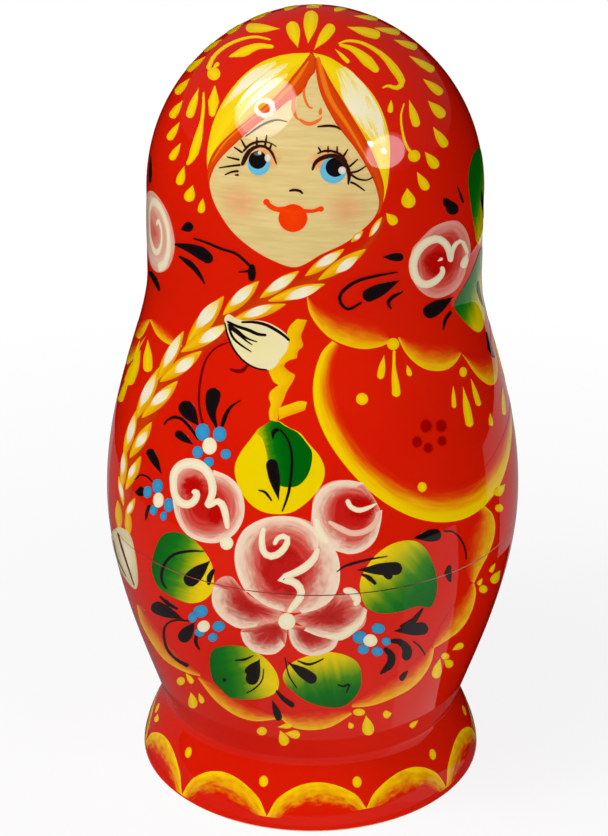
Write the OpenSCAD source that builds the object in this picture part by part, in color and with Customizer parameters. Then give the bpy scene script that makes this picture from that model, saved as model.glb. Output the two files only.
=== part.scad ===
// Nesting doll set of seven turned wooden dolls, shown closed with each doll inside the next larger one.
// Six dolls are hollow and part at the belly; the seventh and smallest is one solid piece.
// Sizes are those of the outer doll in millimetres; each inner doll is a share of the one around it.

/* [Outline] */
// Diameter across the foot at the floor
foot_dia = 92; // [84:0.1:100]
// Diameter across the crease above the foot
crease_dia = 79.4; // [74:0.1:84]
// Height of the crease above the floor
crease_height = 17; // [13:0.1:21]
// Diameter across the belly at its widest ring
belly_dia = 106.8; // [100:0.1:114]
// Rise from the crease to the belly's widest ring
belly_rise = 58.4; // [52:0.1:66]
// Diameter across the neck
neck_dia = 82.8; // [78:0.1:88]
// Rise from the belly's widest ring to the neck
neck_rise = 60.6; // [54:0.1:68]
// Diameter across the head
head_dia = 82.2; // [78:0.1:86]
// Rise from the neck to the head's widest ring
head_rise = 20; // [15:0.1:26]
// Rise from the head's widest ring to the crown
crown_rise = 44; // [38:0.1:52]
// How far the seam lies below the belly's widest ring
seam_drop = 3.2; // [0.5:0.1:8]

/* [Outline curves] */
// Inward lean of the foot at the floor, in degrees
foot_lean = 6; // [0:0.5:15]
// Inward lean of the foot just under the crease, in degrees
crease_lean = 22; // [10:0.5:35]
// Outward lean of the body just over the crease, in degrees
body_lean = 16; // [8:0.5:30]
// Reach of the foot's curve upwards from the floor
foot_curve_share = 0.33; // [0.2:0.01:0.5]
// Reach of the foot's curve downwards from the crease
crease_under_share = 0.3; // [0.2:0.01:0.5]
// Reach of the body's curve upwards from the crease
crease_over_share = 0.23; // [0.1:0.01:0.5]
// Reach of the body's curve downwards from the belly
belly_under_share = 0.37; // [0.2:0.01:0.6]
// Reach of the shoulder's curve upwards from the belly
belly_over_share = 0.46; // [0.2:0.01:0.6]
// Reach of the shoulder's curve downwards from the neck
neck_under_share = 0.23; // [0.1:0.01:0.5]
// Reach of the head's curve upwards from the neck
neck_over_share = 0.3; // [0.1:0.01:0.5]
// Reach of the head's curve downwards from its widest ring
head_under_share = 0.2; // [0.1:0.01:0.5]
// Reach of the crown's curve upwards from the head
head_over_share = 0.61; // [0.4:0.01:0.75]
// Reach of the crown's curve outwards from the top
crown_flat_share = 0.47; // [0.3:0.01:0.7]

/* [Walls] */
// Wall of the body
wall = 5.2; // [4:0.1:7]
// Thickness of the crown
crown_wall = 6; // [4:0.1:9]
// Height of the inside floor above the crease
floor_rise = 11; // [8:0.1:14]
// Round between the inside floor and the wall
floor_round = 1.5; // [0.5:0.1:4]

/* [Joint between the halves] */
// Height of the tongue above the seam
tongue_height = 10; // [7:0.1:14]
// Share of the joint's thickness that is the tongue
tongue_share = 0.5; // [0.4:0.01:0.6]
// Room between tongue and socket, on the radius, the same for every doll
fit_room = 0.15; // [0.05:0.01:0.3]
// How much deeper the socket is than the tongue is high
socket_relief = 0.6; // [0.2:0.1:1.5]
// Bevel around the top of the tongue
tongue_bevel = 0.6; // [0.2:0.1:1.2]
// Bevel along each outer edge of the seam
seam_bevel = 0.2; // [0.05:0.05:0.4]

/* [Underside] */
// Width of the ring the doll stands on
stand_ring = 10; // [6:0.5:16]
// Depth of the hollow inside that ring
stand_hollow = 0.8; // [0.3:0.1:1.6]
// Bevel around the foot's lower edge
foot_bevel = 0.6; // [0.2:0.1:1.5]
// Diameter of the turning mark in the middle
turning_mark_dia = 5; // [2:0.5:9]
// Depth of the turning mark
turning_mark_depth = 1.4; // [0.5:0.1:3]

/* [Nesting] */
// Size of each doll as a share of the one around it
nest_share = 0.79; // [0.75:0.005:0.8]
// Room around the next doll's belly as it passes the tongue
mouth_room = 4.4; // [3:0.1:6]
// Room around the next doll's foot on the inside floor
foot_room = 0.4; // [0.2:0.1:2]
// Room around the next doll's head as it passes the neck
head_room = 1.6; // [1:0.1:3]

/* [Hidden] */
paint_red = "#cf1d0d";
facets = 96;
curve_steps = 12;
round_steps = 4;
halvings = 30;
foot_r = foot_dia / 2;
crease_r = crease_dia / 2;
belly_r = belly_dia / 2;
neck_r = neck_dia / 2;
head_r = head_dia / 2;
belly_height = crease_height + belly_rise;
neck_height = belly_height + neck_rise;
head_height = neck_height + head_rise;
doll_height = head_height + crown_rise;
seam_height = belly_height - seam_drop;
floor_height = crease_height + floor_rise;
outer_shape = [foot_r, head_r];
seam_r = outline_radius(outline(outer_shape), seam_height);
mouth_r = nest_share * belly_r + mouth_room;
floor_r = outline_radius(outline(outer_shape, wall), floor_height + floor_round) - floor_round;
// An inner doll's foot and head are turned to fit the floor and the neck around them
inner_foot_r = min(foot_r, (floor_r - foot_room) / nest_share);
inner_head_r = min(head_r, (min(neck_r, head_r) - wall - head_room) / nest_share);
inner_shape = [inner_foot_r, inner_head_r];

// A point on a curve with two end points and two reaches
function curve_point(c, t) =
    (1 - t)^3 * c[0] + 3 * (1 - t)^2 * t * c[1] + 3 * (1 - t) * t^2 * c[2] + t^3 * c[3];

// How far along a rising curve a height lies, by halving
function curve_share(c, height, low = 0, high = 1, left = halvings) =
    left == 0
        ? (low + high) / 2
        : curve_point(c, (low + high) / 2)[1] < height
            ? curve_share(c, height, (low + high) / 2, high, left - 1)
            : curve_share(c, height, low, (low + high) / 2, left - 1);

// The five curves of a doll's outline at full size, from its foot's and head's radii,
// set in by a wall, with the crown set down by its own thickness
function outline(shape, inset = 0, crown_inset = 0) =
    let (
        foot = [shape[0] - inset, 0],
        crease = [crease_r - inset, crease_height],
        belly = [belly_r - inset, belly_height],
        neck = [neck_r - inset, neck_height],
        head = [shape[1] - inset, head_height],
        top = [0, doll_height - crown_inset],
        top_rise = crown_rise - crown_inset
    )
    [
        [
            foot,
            foot + foot_curve_share * crease_height * [-tan(foot_lean), 1],
            crease + crease_under_share * crease_height * [tan(crease_lean), -1],
            crease
        ],
        [
            crease,
            crease + crease_over_share * belly_rise * [tan(body_lean), 1],
            belly - [0, belly_under_share * belly_rise],
            belly
        ],
        [
            belly,
            belly + [0, belly_over_share * neck_rise],
            neck - [0, neck_under_share * neck_rise],
            neck
        ],
        [
            neck,
            neck + [0, neck_over_share * head_rise],
            head - [0, head_under_share * head_rise],
            head
        ],
        [
            head,
            head + [0, head_over_share * top_rise],
            top + [crown_flat_share * head[0], 0],
            top
        ]
    ];

// Points of an outline from one height up to another
function outline_points(curves, low, high) =
    [
        for (c = curves)
            if (c[3][1] > low && c[0][1] < high)
                let (
                    from = c[0][1] < low ? curve_share(c, low) : 0,
                    to = c[3][1] > high ? curve_share(c, high) : 1,
                    last = c[3][1] < high ? curve_steps - 1 : curve_steps
                )
                for (i = [0 : last])
                    curve_point(c, from + (to - from) * i / curve_steps)
    ];

// The radius of an outline at a height
function outline_radius(curves, height) =
    [
        for (c = curves)
            if (c[0][1] <= height && height < c[3][1])
                curve_point(c, curve_share(c, height))[0]
    ][0];

// The size of a doll, the shape it is turned to, and the height at which it stands inside the others
function doll_scale(index) = nest_share ^ index;
function doll_shape(index) = index == 0 ? outer_shape : inner_shape;
function stand_height(index) =
    index == 0 ? 0 : stand_height(index - 1) + doll_scale(index - 1) * floor_height;

// Radii of the tongue and the socket of a doll, whose room doesn't shrink with the doll
function tongue_radius(s) = s * mouth_r + tongue_share * (s * (seam_r - mouth_r) - fit_room);
function socket_radius(s) = tongue_radius(s) + fit_room;

// The underside, from the middle out to the foot's edge
function underside_points(shape) =
    [
        [0, stand_hollow + turning_mark_depth],
        [turning_mark_dia / 2, stand_hollow],
        [shape[0] - stand_ring - stand_hollow, stand_hollow],
        [shape[0] - stand_ring, 0],
        [shape[0] - foot_bevel, 0]
    ];

// Points in reverse order, none of them further out than the mouth
function within_mouth(points) =
    let (count = len(points))
    [for (i = [1 : count]) [min(mouth_r, points[count - i][0]), points[count - i][1]]];

// The hollow of a lower half, from the mouth down to the middle of the floor
function lower_hollow_points(shape) =
    let (
        rounded = floor_height + floor_round,
        corner = [floor_r, rounded]
    )
    concat(
        within_mouth(outline_points(outline(shape, wall), rounded, seam_height)),
        [
            for (i = [1 : round_steps])
                corner + floor_round * [cos(90 * i / round_steps), -sin(90 * i / round_steps)]
        ],
        [[0, floor_height]]
    );

// The hollow of an upper half, from the middle of the crown down to the socket's step
function upper_hollow_points(shape) =
    within_mouth(outline_points(
        outline(shape, wall, crown_wall),
        seam_height + tongue_height + socket_relief,
        doll_height
    ));

// A turned piece of a doll from its outline, standing at the doll's height
module turned(index, points) {
    color(paint_red)
        translate([0, 0, stand_height(index)])
            rotate_extrude($fn = facets)
                polygon(points);
}

// The lower half: foot, body up to the seam, tongue, and a hollow with a flat floor
module lower_half(index) {
    s = doll_scale(index);
    shape = doll_shape(index);
    tongue_top = seam_height + tongue_height;
    turned(index, concat(
        s * underside_points(shape),
        s * outline_points(outline(shape), foot_bevel, seam_height - seam_bevel),
        [
            s * [seam_r - seam_bevel, seam_height],
            [tongue_radius(s), s * seam_height],
            [tongue_radius(s), s * (tongue_top - tongue_bevel)],
            [tongue_radius(s) - s * tongue_bevel, s * tongue_top],
            s * [mouth_r, tongue_top]
        ],
        s * lower_hollow_points(shape)
    ));
}

// The upper half: socket over the tongue, shoulders and head, hollow up to the crown
module upper_half(index) {
    s = doll_scale(index);
    shape = doll_shape(index);
    turned(index, concat(
        [
            [socket_radius(s), s * seam_height],
            s * [seam_r - seam_bevel, seam_height]
        ],
        s * outline_points(outline(shape), seam_height + seam_bevel, doll_height),
        s * upper_hollow_points(shape),
        [[socket_radius(s), s * (seam_height + tongue_height + socket_relief)]]
    ));
}

// The smallest doll, turned in one solid piece
module whole_doll(index) {
    shape = doll_shape(index);
    turned(index, doll_scale(index) * concat(
        underside_points(shape),
        outline_points(outline(shape), foot_bevel, doll_height)
    ));
}

lower_half(0);  // doll_1_bottom
upper_half(0);  // doll_1_top
lower_half(1);  // doll_2_bottom
upper_half(1);  // doll_2_top
lower_half(2);  // doll_3_bottom
upper_half(2);  // doll_3_top
lower_half(3);  // doll_4_bottom
upper_half(3);  // doll_4_top
lower_half(4);  // doll_5_bottom
upper_half(4);  // doll_5_top
lower_half(5);  // doll_6_bottom
upper_half(5);  // doll_6_top
whole_doll(6);  // seed_doll
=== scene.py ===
"""Seven painted nesting dolls turned in wood, each standing inside the next larger one.

Lengths are millimetres on the outer doll unless a name says otherwise, and the inner dolls are scaled
from it. Painted marks are placed by pixel of the 608 by 836 photograph, or by degrees round the doll
from its front and millimetres above its foot.
"""

import logging
import math
from collections.abc import Callable
from dataclasses import dataclass, field
from enum import Enum, IntEnum
from functools import cached_property
from typing import ClassVar

import bmesh
import bpy
import numpy as np
from mathutils import Matrix, Vector


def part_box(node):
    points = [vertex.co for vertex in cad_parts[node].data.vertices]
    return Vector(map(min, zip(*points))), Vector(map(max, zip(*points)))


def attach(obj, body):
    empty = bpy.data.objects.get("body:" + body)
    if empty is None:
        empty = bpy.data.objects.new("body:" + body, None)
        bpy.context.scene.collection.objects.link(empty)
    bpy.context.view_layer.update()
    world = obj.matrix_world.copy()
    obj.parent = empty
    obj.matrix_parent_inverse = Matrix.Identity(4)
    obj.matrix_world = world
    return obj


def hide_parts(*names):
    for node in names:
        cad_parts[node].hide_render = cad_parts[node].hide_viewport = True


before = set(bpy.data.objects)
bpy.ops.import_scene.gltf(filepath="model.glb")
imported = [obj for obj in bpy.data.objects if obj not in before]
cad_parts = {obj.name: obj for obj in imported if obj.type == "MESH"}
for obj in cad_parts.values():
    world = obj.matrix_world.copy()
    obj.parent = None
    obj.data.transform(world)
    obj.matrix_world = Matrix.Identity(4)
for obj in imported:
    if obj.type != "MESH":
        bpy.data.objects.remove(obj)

Colour = tuple[float, float, float]
Shade = tuple[int, int, int]
Pair = tuple[float, float]
Path = tuple[float, ...]
Rows = tuple[tuple[float, ...], ...]
Lines = tuple[tuple[Path, tuple[float, ...]], ...]

METRES_PER_MM = 0.001
NEVER_ZERO = 1e-9
PHOTO_SIZE = (608, 836)
MM_PER_PIXEL = 0.26
log = logging.getLogger("nesting_dolls")


def tone(red: int, green: int, blue: int) -> Colour:
    """Gives the linear colour of three numbers from 0 to 255 as a screen shows them."""
    shares = (value / 255 for value in (red, green, blue))
    return tuple(c / 12.92 if c <= 0.04045 else ((c + 0.055) / 1.055) ** 2.4 for c in shares)


def smooth(path: np.ndarray, shares: np.ndarray, closed: bool = False) -> np.ndarray:
    """Follows a smooth curve through points.

    Args:
        path: Points, one row each.
        shares: How far along the curve each wanted place is, from 0 to 1.
        closed: Whether the curve runs on from its last point to its first.

    Returns:
        The places, one row each.
    """
    rows = np.vstack([path, path[:1]]) if closed else path
    knots = np.concatenate([[0.0], np.cumsum(np.hypot(*np.diff(rows, axis=0).T))])
    knots /= knots[-1]
    if closed:
        around = np.vstack([rows[-2], rows, rows[1]])
        times = np.concatenate([[knots[-2] - 1], knots, [knots[1] + 1]])
    else:
        around = np.vstack([rows[0], rows, rows[-1]])
        times = np.concatenate([[knots[0]], knots, [knots[-1]]])
    leans = (around[2:] - around[:-2]) / (times[2:] - times[:-2])[:, None]
    shares = np.clip(shares, 0, 1)
    low = np.clip(np.searchsorted(knots, shares, side="right") - 1, 0, len(knots) - 2)
    span = (knots[low + 1] - knots[low])[:, None]
    t = (shares - knots[low])[:, None] / span
    start = rows[low] * (1 + 2 * t) * (1 - t) ** 2 + leans[low] * span * t * (1 - t) ** 2
    end = rows[low + 1] * t**2 * (3 - 2 * t) + leans[low + 1] * span * t**2 * (t - 1)
    return start + end


def pairs(path: Path) -> np.ndarray:
    """Turns a flat run of numbers into points, one row each."""
    return np.array(path, float).reshape(-1, 2)


@dataclass(frozen=True)
class Outline:
    """The turned outline of a doll, from the floor up to the crown, as radii and heights."""

    foot: float = 46.0
    crease: float = 39.7
    crease_height: float = 17.0
    belly: float = 53.4
    belly_height: float = 75.4
    neck: float = 41.4
    neck_height: float = 136.0
    head: float = 41.1
    head_height: float = 156.0
    height: float = 200.0
    foot_lean: float = 6.0
    crease_lean: float = 22.0
    body_lean: float = 16.0
    foot_reach: float = 0.33
    crease_reaches: Pair = (0.3, 0.23)
    belly_reaches: Pair = (0.37, 0.46)
    neck_reaches: Pair = (0.23, 0.3)
    head_reaches: Pair = (0.2, 0.61)
    crown_reach: float = 0.47
    table_steps: int = 400

    def curves(self, inset: float = 0.0, crown_inset: float = 0.0) -> list[np.ndarray]:
        """Gives the outline's five curves, each as four points.

        Args:
            inset: How far the sides are set in.
            crown_inset: How far the crown is set down.

        Returns:
            One array of four points for each curve, from the floor up.
        """
        def lean(degrees: float) -> np.ndarray:
            """Gives the sideways and upward step of a line that leans by some degrees."""
            return np.array([math.tan(math.radians(degrees)), 1.0])

        foot = np.array([self.foot - inset, 0.0])
        crease = np.array([self.crease - inset, self.crease_height])
        belly = np.array([self.belly - inset, self.belly_height])
        neck = np.array([self.neck - inset, self.neck_height])
        head = np.array([self.head - inset, self.head_height])
        crown = np.array([0.0, self.height - crown_inset])
        crown_rise = crown[1] - self.head_height
        curves = []
        for low, low_reach, low_lean, high, high_reach, high_lean in (
            (foot, self.foot_reach, -self.foot_lean, crease, self.crease_reaches[0], -self.crease_lean),
            (crease, self.crease_reaches[1], self.body_lean, belly, self.belly_reaches[0], 0.0),
            (belly, self.belly_reaches[1], 0.0, neck, self.neck_reaches[0], 0.0),
            (neck, self.neck_reaches[1], 0.0, head, self.head_reaches[0], 0.0),
        ):
            rise = high[1] - low[1]
            after_low = low + low_reach * rise * lean(low_lean)
            before_high = high - high_reach * rise * lean(high_lean)
            curves.append(np.array([low, after_low, before_high, high]))
        after_head = head + self.head_reaches[1] * crown_rise * lean(0.0)
        before_crown = crown + np.array([self.crown_reach * head[0], 0.0])
        return [*curves, np.array([head, after_head, before_crown, crown])]

    def trace(self, inset: float = 0.0, crown_inset: float = 0.0) -> np.ndarray:
        """Gives close points all the way up the outline, one row each.

        Args:
            inset: How far the sides are set in.
            crown_inset: How far the crown is set down.

        Returns:
            Radius and height of each point.
        """
        t = np.linspace(0, 1, self.table_steps)[:, None]
        return np.vstack([
            (1 - t) ** 3 * c[0] + 3 * (1 - t) ** 2 * t * c[1] + 3 * (1 - t) * t**2 * c[2] + t**3 * c[3]
            for c in self.curves(inset, crown_inset)
        ])

    def stretch(self, low: float, high: float, step: float, inset: float = 0.0,
                crown_inset: float = 0.0) -> np.ndarray:
        """Gives evenly spaced points of the outline between two heights.

        Args:
            low: Height to start from.
            high: Height to end at.
            step: Distance between points along the outline.
            inset: How far the sides are set in.
            crown_inset: How far the crown is set down.

        Returns:
            Radius and height of each point, from low to high.
        """
        rows = self.trace(inset, crown_inset)
        ends = np.array([[np.interp(z, rows[:, 1], rows[:, 0]), z] for z in (low, high)])
        inside = rows[(rows[:, 1] > low) & (rows[:, 1] < high)]
        rows = np.vstack([ends[:1], inside, ends[1:]])
        run = np.concatenate([[0.0], np.cumsum(np.hypot(*np.diff(rows, axis=0).T))])
        wanted = np.linspace(0, run[-1], max(2, round(run[-1] / step) + 1))
        return np.stack([np.interp(wanted, run, rows[:, 0]), np.interp(wanted, run, rows[:, 1])], axis=1)

    @cached_property
    def table(self) -> tuple[np.ndarray, np.ndarray, np.ndarray, np.ndarray]:
        """Heights, radii, and the outward and upward parts of the surface's normal."""
        rows = self.trace()
        steps = np.gradient(rows, axis=0)
        lengths = np.maximum(np.hypot(*steps.T), NEVER_ZERO)
        return rows[:, 1], rows[:, 0], steps[:, 1] / lengths, -steps[:, 0] / lengths

    def radius(self, heights: np.ndarray) -> np.ndarray:
        """Gives the outline's radius at some heights."""
        return np.interp(heights, self.table[0], self.table[1])

    def surface(self, degrees: np.ndarray, heights: np.ndarray,
                lift: float) -> tuple[np.ndarray, np.ndarray]:
        """Finds places on the doll's surface.

        Args:
            degrees: Angles round the doll from its front, to the viewer's right.
            heights: Heights above the foot.
            lift: How far the places stand off the surface.

        Returns:
            The places and the surface's normals there, one row each.
        """
        table_heights, radii, outward, upward = self.table
        heights = np.clip(heights, 0, self.height)
        turn = np.radians(degrees)
        out = np.interp(heights, table_heights, outward)
        normals = np.stack(
            [out * np.sin(turn), -out * np.cos(turn), np.interp(heights, table_heights, upward)], axis=1
        )
        r = np.interp(heights, table_heights, radii)
        places = np.stack([r * np.sin(turn), -r * np.cos(turn), heights], axis=1)
        return places + lift * normals, normals


@dataclass(frozen=True)
class PhotoCamera:
    """The camera of the photograph, in millimetres, degrees and pixels."""

    outline: Outline
    azimuth: float = 6.1
    distance: float = 431.9
    height: float = 276.8
    pitch: float = 22.46
    roll: float = 0.47
    focal: float = 1820.9
    centre: Pair = (313.23, 406.04)
    sensor: float = 36.0
    ray_steps: int = 500
    nearest_share: float = 0.7
    farthest_share: float = 1.5

    @cached_property
    def axes(self) -> tuple[np.ndarray, np.ndarray, np.ndarray]:
        """The camera's right, upward and forward directions."""
        turn, tip, lean = (math.radians(v) for v in (self.azimuth, self.pitch, self.roll))
        level = np.array([math.cos(turn), math.sin(turn), 0.0])
        forward = np.array([
            -math.sin(turn) * math.cos(tip),
            math.cos(turn) * math.cos(tip),
            -math.sin(tip),
        ])
        upward = np.cross(level, forward)
        right = math.cos(lean) * level + math.sin(lean) * upward
        return right, math.cos(lean) * upward - math.sin(lean) * level, forward

    @cached_property
    def place(self) -> np.ndarray:
        """Where the camera stands."""
        turn = math.radians(self.azimuth)
        return np.array([
            self.distance * math.sin(turn),
            -self.distance * math.cos(turn),
            self.height,
        ])

    def rays(self, pixels: np.ndarray) -> np.ndarray:
        """Gives the directions in which pixels are seen, one row each."""
        right, upward, forward = self.axes
        across = (pixels[:, :1] - self.centre[0]) / self.focal
        down = (pixels[:, 1:] - self.centre[1]) / self.focal
        return forward + across * right - down * upward

    def chart(self, pixels: np.ndarray) -> np.ndarray:
        """Finds where pixels of the photograph fall on the outer doll.

        Args:
            pixels: Pixels across and down, one row each.

        Returns:
            Degrees from the doll's front and height above its foot, one row each. A pixel beside the
            doll gives the nearest place on the doll's edge.
        """
        rays = self.rays(pixels)
        depths = np.linspace(self.nearest_share, self.farthest_share, self.ray_steps) * self.distance
        spots = self.place + depths[:, None, None] * rays
        gaps = np.hypot(spots[..., 0], spots[..., 1]) - self.outline.radius(spots[..., 2])
        outside = (spots[..., 2] > self.outline.height) | (spots[..., 2] < 0)
        gaps = np.where(outside, self.outline.belly, gaps)
        inside = gaps < 0
        hit = inside.any(axis=0)
        first = np.where(hit, inside.argmax(axis=0), gaps.argmin(axis=0))
        column = np.arange(len(pixels))
        before = np.maximum(first - 1, 0)
        near, far = gaps[before, column], gaps[first, column]
        share = np.where(hit & (near > 0), near / np.maximum(near - far, NEVER_ZERO), 1.0)
        depth = depths[before] + share * (depths[first] - depths[before])
        spot = self.place + depth[:, None] * rays
        return np.stack([np.degrees(np.arctan2(spot[:, 0], -spot[:, 1])), spot[:, 2]], axis=1)

    def glint(self, pixel: Pair) -> tuple[Vector, Vector]:
        """Finds the direction that a mirror-smooth doll reflects at a pixel.

        Args:
            pixel: Pixel across and down.

        Returns:
            The place on the doll in metres, and the direction that is reflected there.
        """
        degrees, height = self.chart(np.array([pixel], float))[0]
        spots, normals = self.outline.surface(np.array([degrees]), np.array([height]), 0.0)
        seen = Vector(self.rays(np.array([pixel], float))[0]).normalized()
        return Vector(spots[0]) * METRES_PER_MM, seen.reflect(Vector(normals[0]))

    def build(self) -> bpy.types.Object:
        """Makes the scene's camera and gives it back."""
        data = bpy.data.cameras.new("photo_camera")
        long_side = max(PHOTO_SIZE)
        data.sensor_width = self.sensor
        data.lens = self.focal * self.sensor / long_side
        data.shift_x = (PHOTO_SIZE[0] / 2 - self.centre[0]) / long_side
        data.shift_y = (self.centre[1] - PHOTO_SIZE[1] / 2) / long_side
        camera = bpy.data.objects.new("photo_camera", data)
        right, upward, forward = (Vector(axis) for axis in self.axes)
        turned = Matrix((right, upward, -forward)).transposed().to_4x4()
        camera.matrix_world = Matrix.Translation(Vector(self.place) * METRES_PER_MM) @ turned
        bpy.context.collection.objects.link(camera)
        bpy.context.scene.camera = camera
        return camera


class Wire:
    """An output socket of a shader node that takes part in arithmetic."""

    def __init__(self, bench: "Bench", socket: bpy.types.NodeSocket) -> None:
        """Keeps the bench that the node stands on, and the socket."""
        self.bench = bench
        self.socket = socket

    def _math(self, operation: str, *values: "Wire | float") -> "Wire":
        """Adds a Math node for one operation on two or three values."""
        return self.bench.node("ShaderNodeMath", {"operation": operation}, dict(enumerate(values)))

    def __add__(self, other: "Wire | float") -> "Wire":
        """Adds a value."""
        return self._math("ADD", self, other)

    def __sub__(self, other: "Wire | float") -> "Wire":
        """Takes a value away."""
        return self._math("SUBTRACT", self, other)

    def __rsub__(self, other: float) -> "Wire":
        """Takes away from a number."""
        return self._math("SUBTRACT", other, self)

    def __mul__(self, other: "Wire | float") -> "Wire":
        """Multiplies by a value."""
        return self._math("MULTIPLY", self, other)

    def largest(self, other: "Wire | float") -> "Wire":
        """Gives the larger of two values."""
        return self._math("MAXIMUM", self, other)

    def fall(self, start: float, end: float) -> "Wire":
        """Gives 1 up to a start value, falling smoothly to 0 at an end value."""
        settings = {"interpolation_type": "SMOOTHSTEP"}
        return self.bench.node("ShaderNodeMapRange", settings, {0: self, 1: start, 2: end, 3: 1.0, 4: 0.0})


class Bench:
    """A material's node tree, on which nodes are set out and wired."""

    def __init__(self, name: str) -> None:
        """Makes a material with an empty node tree."""
        self.material = bpy.data.materials.new(name)
        self.material.use_nodes = True
        self.tree = self.material.node_tree
        self.tree.nodes.clear()

    def node(self, kind: str, settings: dict[str, object] | None = None,
             sockets: dict[int | str, object] | None = None, output: int | str = 0) -> Wire:
        """Sets out one node.

        Args:
            kind: The node's type.
            settings: Values of its own settings; stops gives a ramp's places and colours.
            sockets: Values or wires for its input sockets, by number or name.
            output: Which of its outputs to give back.

        Returns:
            The output as a wire.
        """
        made = self.tree.nodes.new(kind)
        for key, value in (settings or {}).items():
            if key == "stops":
                self._set_stops(made.color_ramp, value)
            else:
                setattr(made, key, value)
        for key, value in (sockets or {}).items():
            if isinstance(value, Wire):
                self.tree.links.new(value.socket, made.inputs[key])
            elif isinstance(value, tuple) and made.inputs[key].type == "RGBA":
                made.inputs[key].default_value = (*value, 1.0)
            else:
                made.inputs[key].default_value = value
        return Wire(self, made.outputs[output]) if made.outputs else None

    @staticmethod
    def _set_stops(ramp: bpy.types.ColorRamp, stops: tuple[tuple[float, Colour], ...]) -> None:
        """Gives a ramp its places and colours."""
        while len(ramp.elements) < len(stops):
            ramp.elements.new(0.5)
        for element, (place, colour) in zip(ramp.elements, stops):
            element.position = place
            element.color = (*colour, 1.0)

    def mix(self, share: Wire | float, first: Wire | Colour, second: Wire | Colour) -> Wire:
        """Mixes two colours by a share of the second."""
        return self.node("ShaderNodeMix", {"data_type": "RGBA"}, {0: share, 6: first, 7: second}, 2)

    def stretched(self, vector: Wire, factors: tuple[float, float, float]) -> Wire:
        """Multiplies a vector's three parts."""
        return self.node("ShaderNodeVectorMath", {"operation": "MULTIPLY"}, {0: vector, 1: factors})

    def noise(self, vector: Wire, scale: float, detail: float = 2.0) -> Wire:
        """Gives a cloudy pattern from 0 to 1."""
        return self.node("ShaderNodeTexNoise", {}, {"Vector": vector, "Scale": scale, "Detail": detail})

    def object_place(self) -> Wire:
        """Gives the place on the piece."""
        return self.node("ShaderNodeTexCoord", output="Object")

    def parts(self, vector: Wire) -> tuple[Wire, Wire, Wire]:
        """Splits a vector into its three parts."""
        split = self.node("ShaderNodeSeparateXYZ", {}, {0: vector})
        return tuple(Wire(self, out) for out in split.socket.node.outputs)

    def bump(self, height: Wire, depth_mm: float) -> Wire:
        """Turns a height pattern into a normal."""
        sockets = {"Height": height, "Distance": depth_mm * METRES_PER_MM, "Strength": 1.0}
        return self.node("ShaderNodeBump", {}, sockets)

    def finish(self, sockets: dict[str, object]) -> bpy.types.Material:
        """Ends the material in one shader with these sockets."""
        shader = self.node("ShaderNodeBsdfPrincipled", {}, sockets)
        self.node("ShaderNodeOutputMaterial", {}, {0: shader})
        return self.material


@dataclass(frozen=True)
class Lacquer:
    """The clear gloss coat over paint."""

    weight: float = 1.0
    roughness: float = 0.03
    bend: float = 1.4
    under_roughness: float = 0.6
    ripple_scale: float = 55.0
    ripple_mm: float = 0.012
    speck_scale: float = 900.0
    speck_mm: float = 0.006

    def sockets(self, bench: Bench) -> dict[str, object]:
        """Gives the shader sockets that make a surface look lacquered.

        Args:
            bench: Where the material is made.

        Returns:
            Values and wires by the name of their socket.
        """
        place = bench.object_place()
        ripple = bench.noise(place, self.ripple_scale, detail=1.0)
        speck = bench.noise(place, self.speck_scale, detail=0.0)
        height = ripple + speck * (self.speck_mm / self.ripple_mm)
        return {
            "Roughness": self.under_roughness,
            "Specular IOR Level": 0.0,
            "Coat Weight": self.weight,
            "Coat Roughness": self.roughness,
            "Coat IOR": self.bend,
            "Normal": bench.bump(height, self.ripple_mm),
        }


LACQUER = Lacquer()


@dataclass(frozen=True)
class RedGround:
    """The red paint that the dolls are covered with, under lacquer."""

    light: Colour = tone(224, 32, 5)
    dark: Colour = tone(206, 18, 3)
    cloud_scale: float = 26.0

    def colour(self, bench: Bench) -> Wire:
        """Gives the red, a little clouded."""
        clouds = bench.noise(bench.object_place(), self.cloud_scale, detail=3.0)
        return bench.mix(clouds, self.dark, self.light)

    def build(self) -> bpy.types.Material:
        """Makes the material."""
        bench = Bench("red_ground")
        return bench.finish({"Base Color": self.colour(bench), **LACQUER.sockets(bench)})


RED = RedGround()


@dataclass(frozen=True)
class SeamEdge:
    """The edge of a half where it meets the other: a darker red than the ground, with dark specks from just
    left of the middle to the right, and paler on the far right by a share set for each half.
    """

    name: str
    pale_share: float
    shade: Colour = tone(150, 10, 2)
    dark: Colour = tone(44, 14, 8)
    dark_from_m: Pair = (-0.006, 0.004)
    pale: Colour = tone(206, 150, 128)
    pale_from_m: Pair = (0.026, 0.036)
    speck_scale: float = 620.0
    specks: Pair = (0.46, 0.6)
    roughness: float = 0.6

    def build(self) -> bpy.types.Material:
        """Makes the material."""
        bench = Bench(self.name)
        place = bench.object_place()
        side, _, _ = bench.parts(place)
        specks = bench.noise(place, self.speck_scale, detail=2.0).fall(*self.specks)
        line = bench.mix(specks * (1 - side.fall(*self.dark_from_m)), self.shade, self.dark)
        paler_on_right = (1 - side.fall(*self.pale_from_m)) * self.pale_share
        colour = bench.mix(paler_on_right, line, self.pale)
        return bench.finish({"Base Color": colour, "Roughness": self.roughness})


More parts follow.
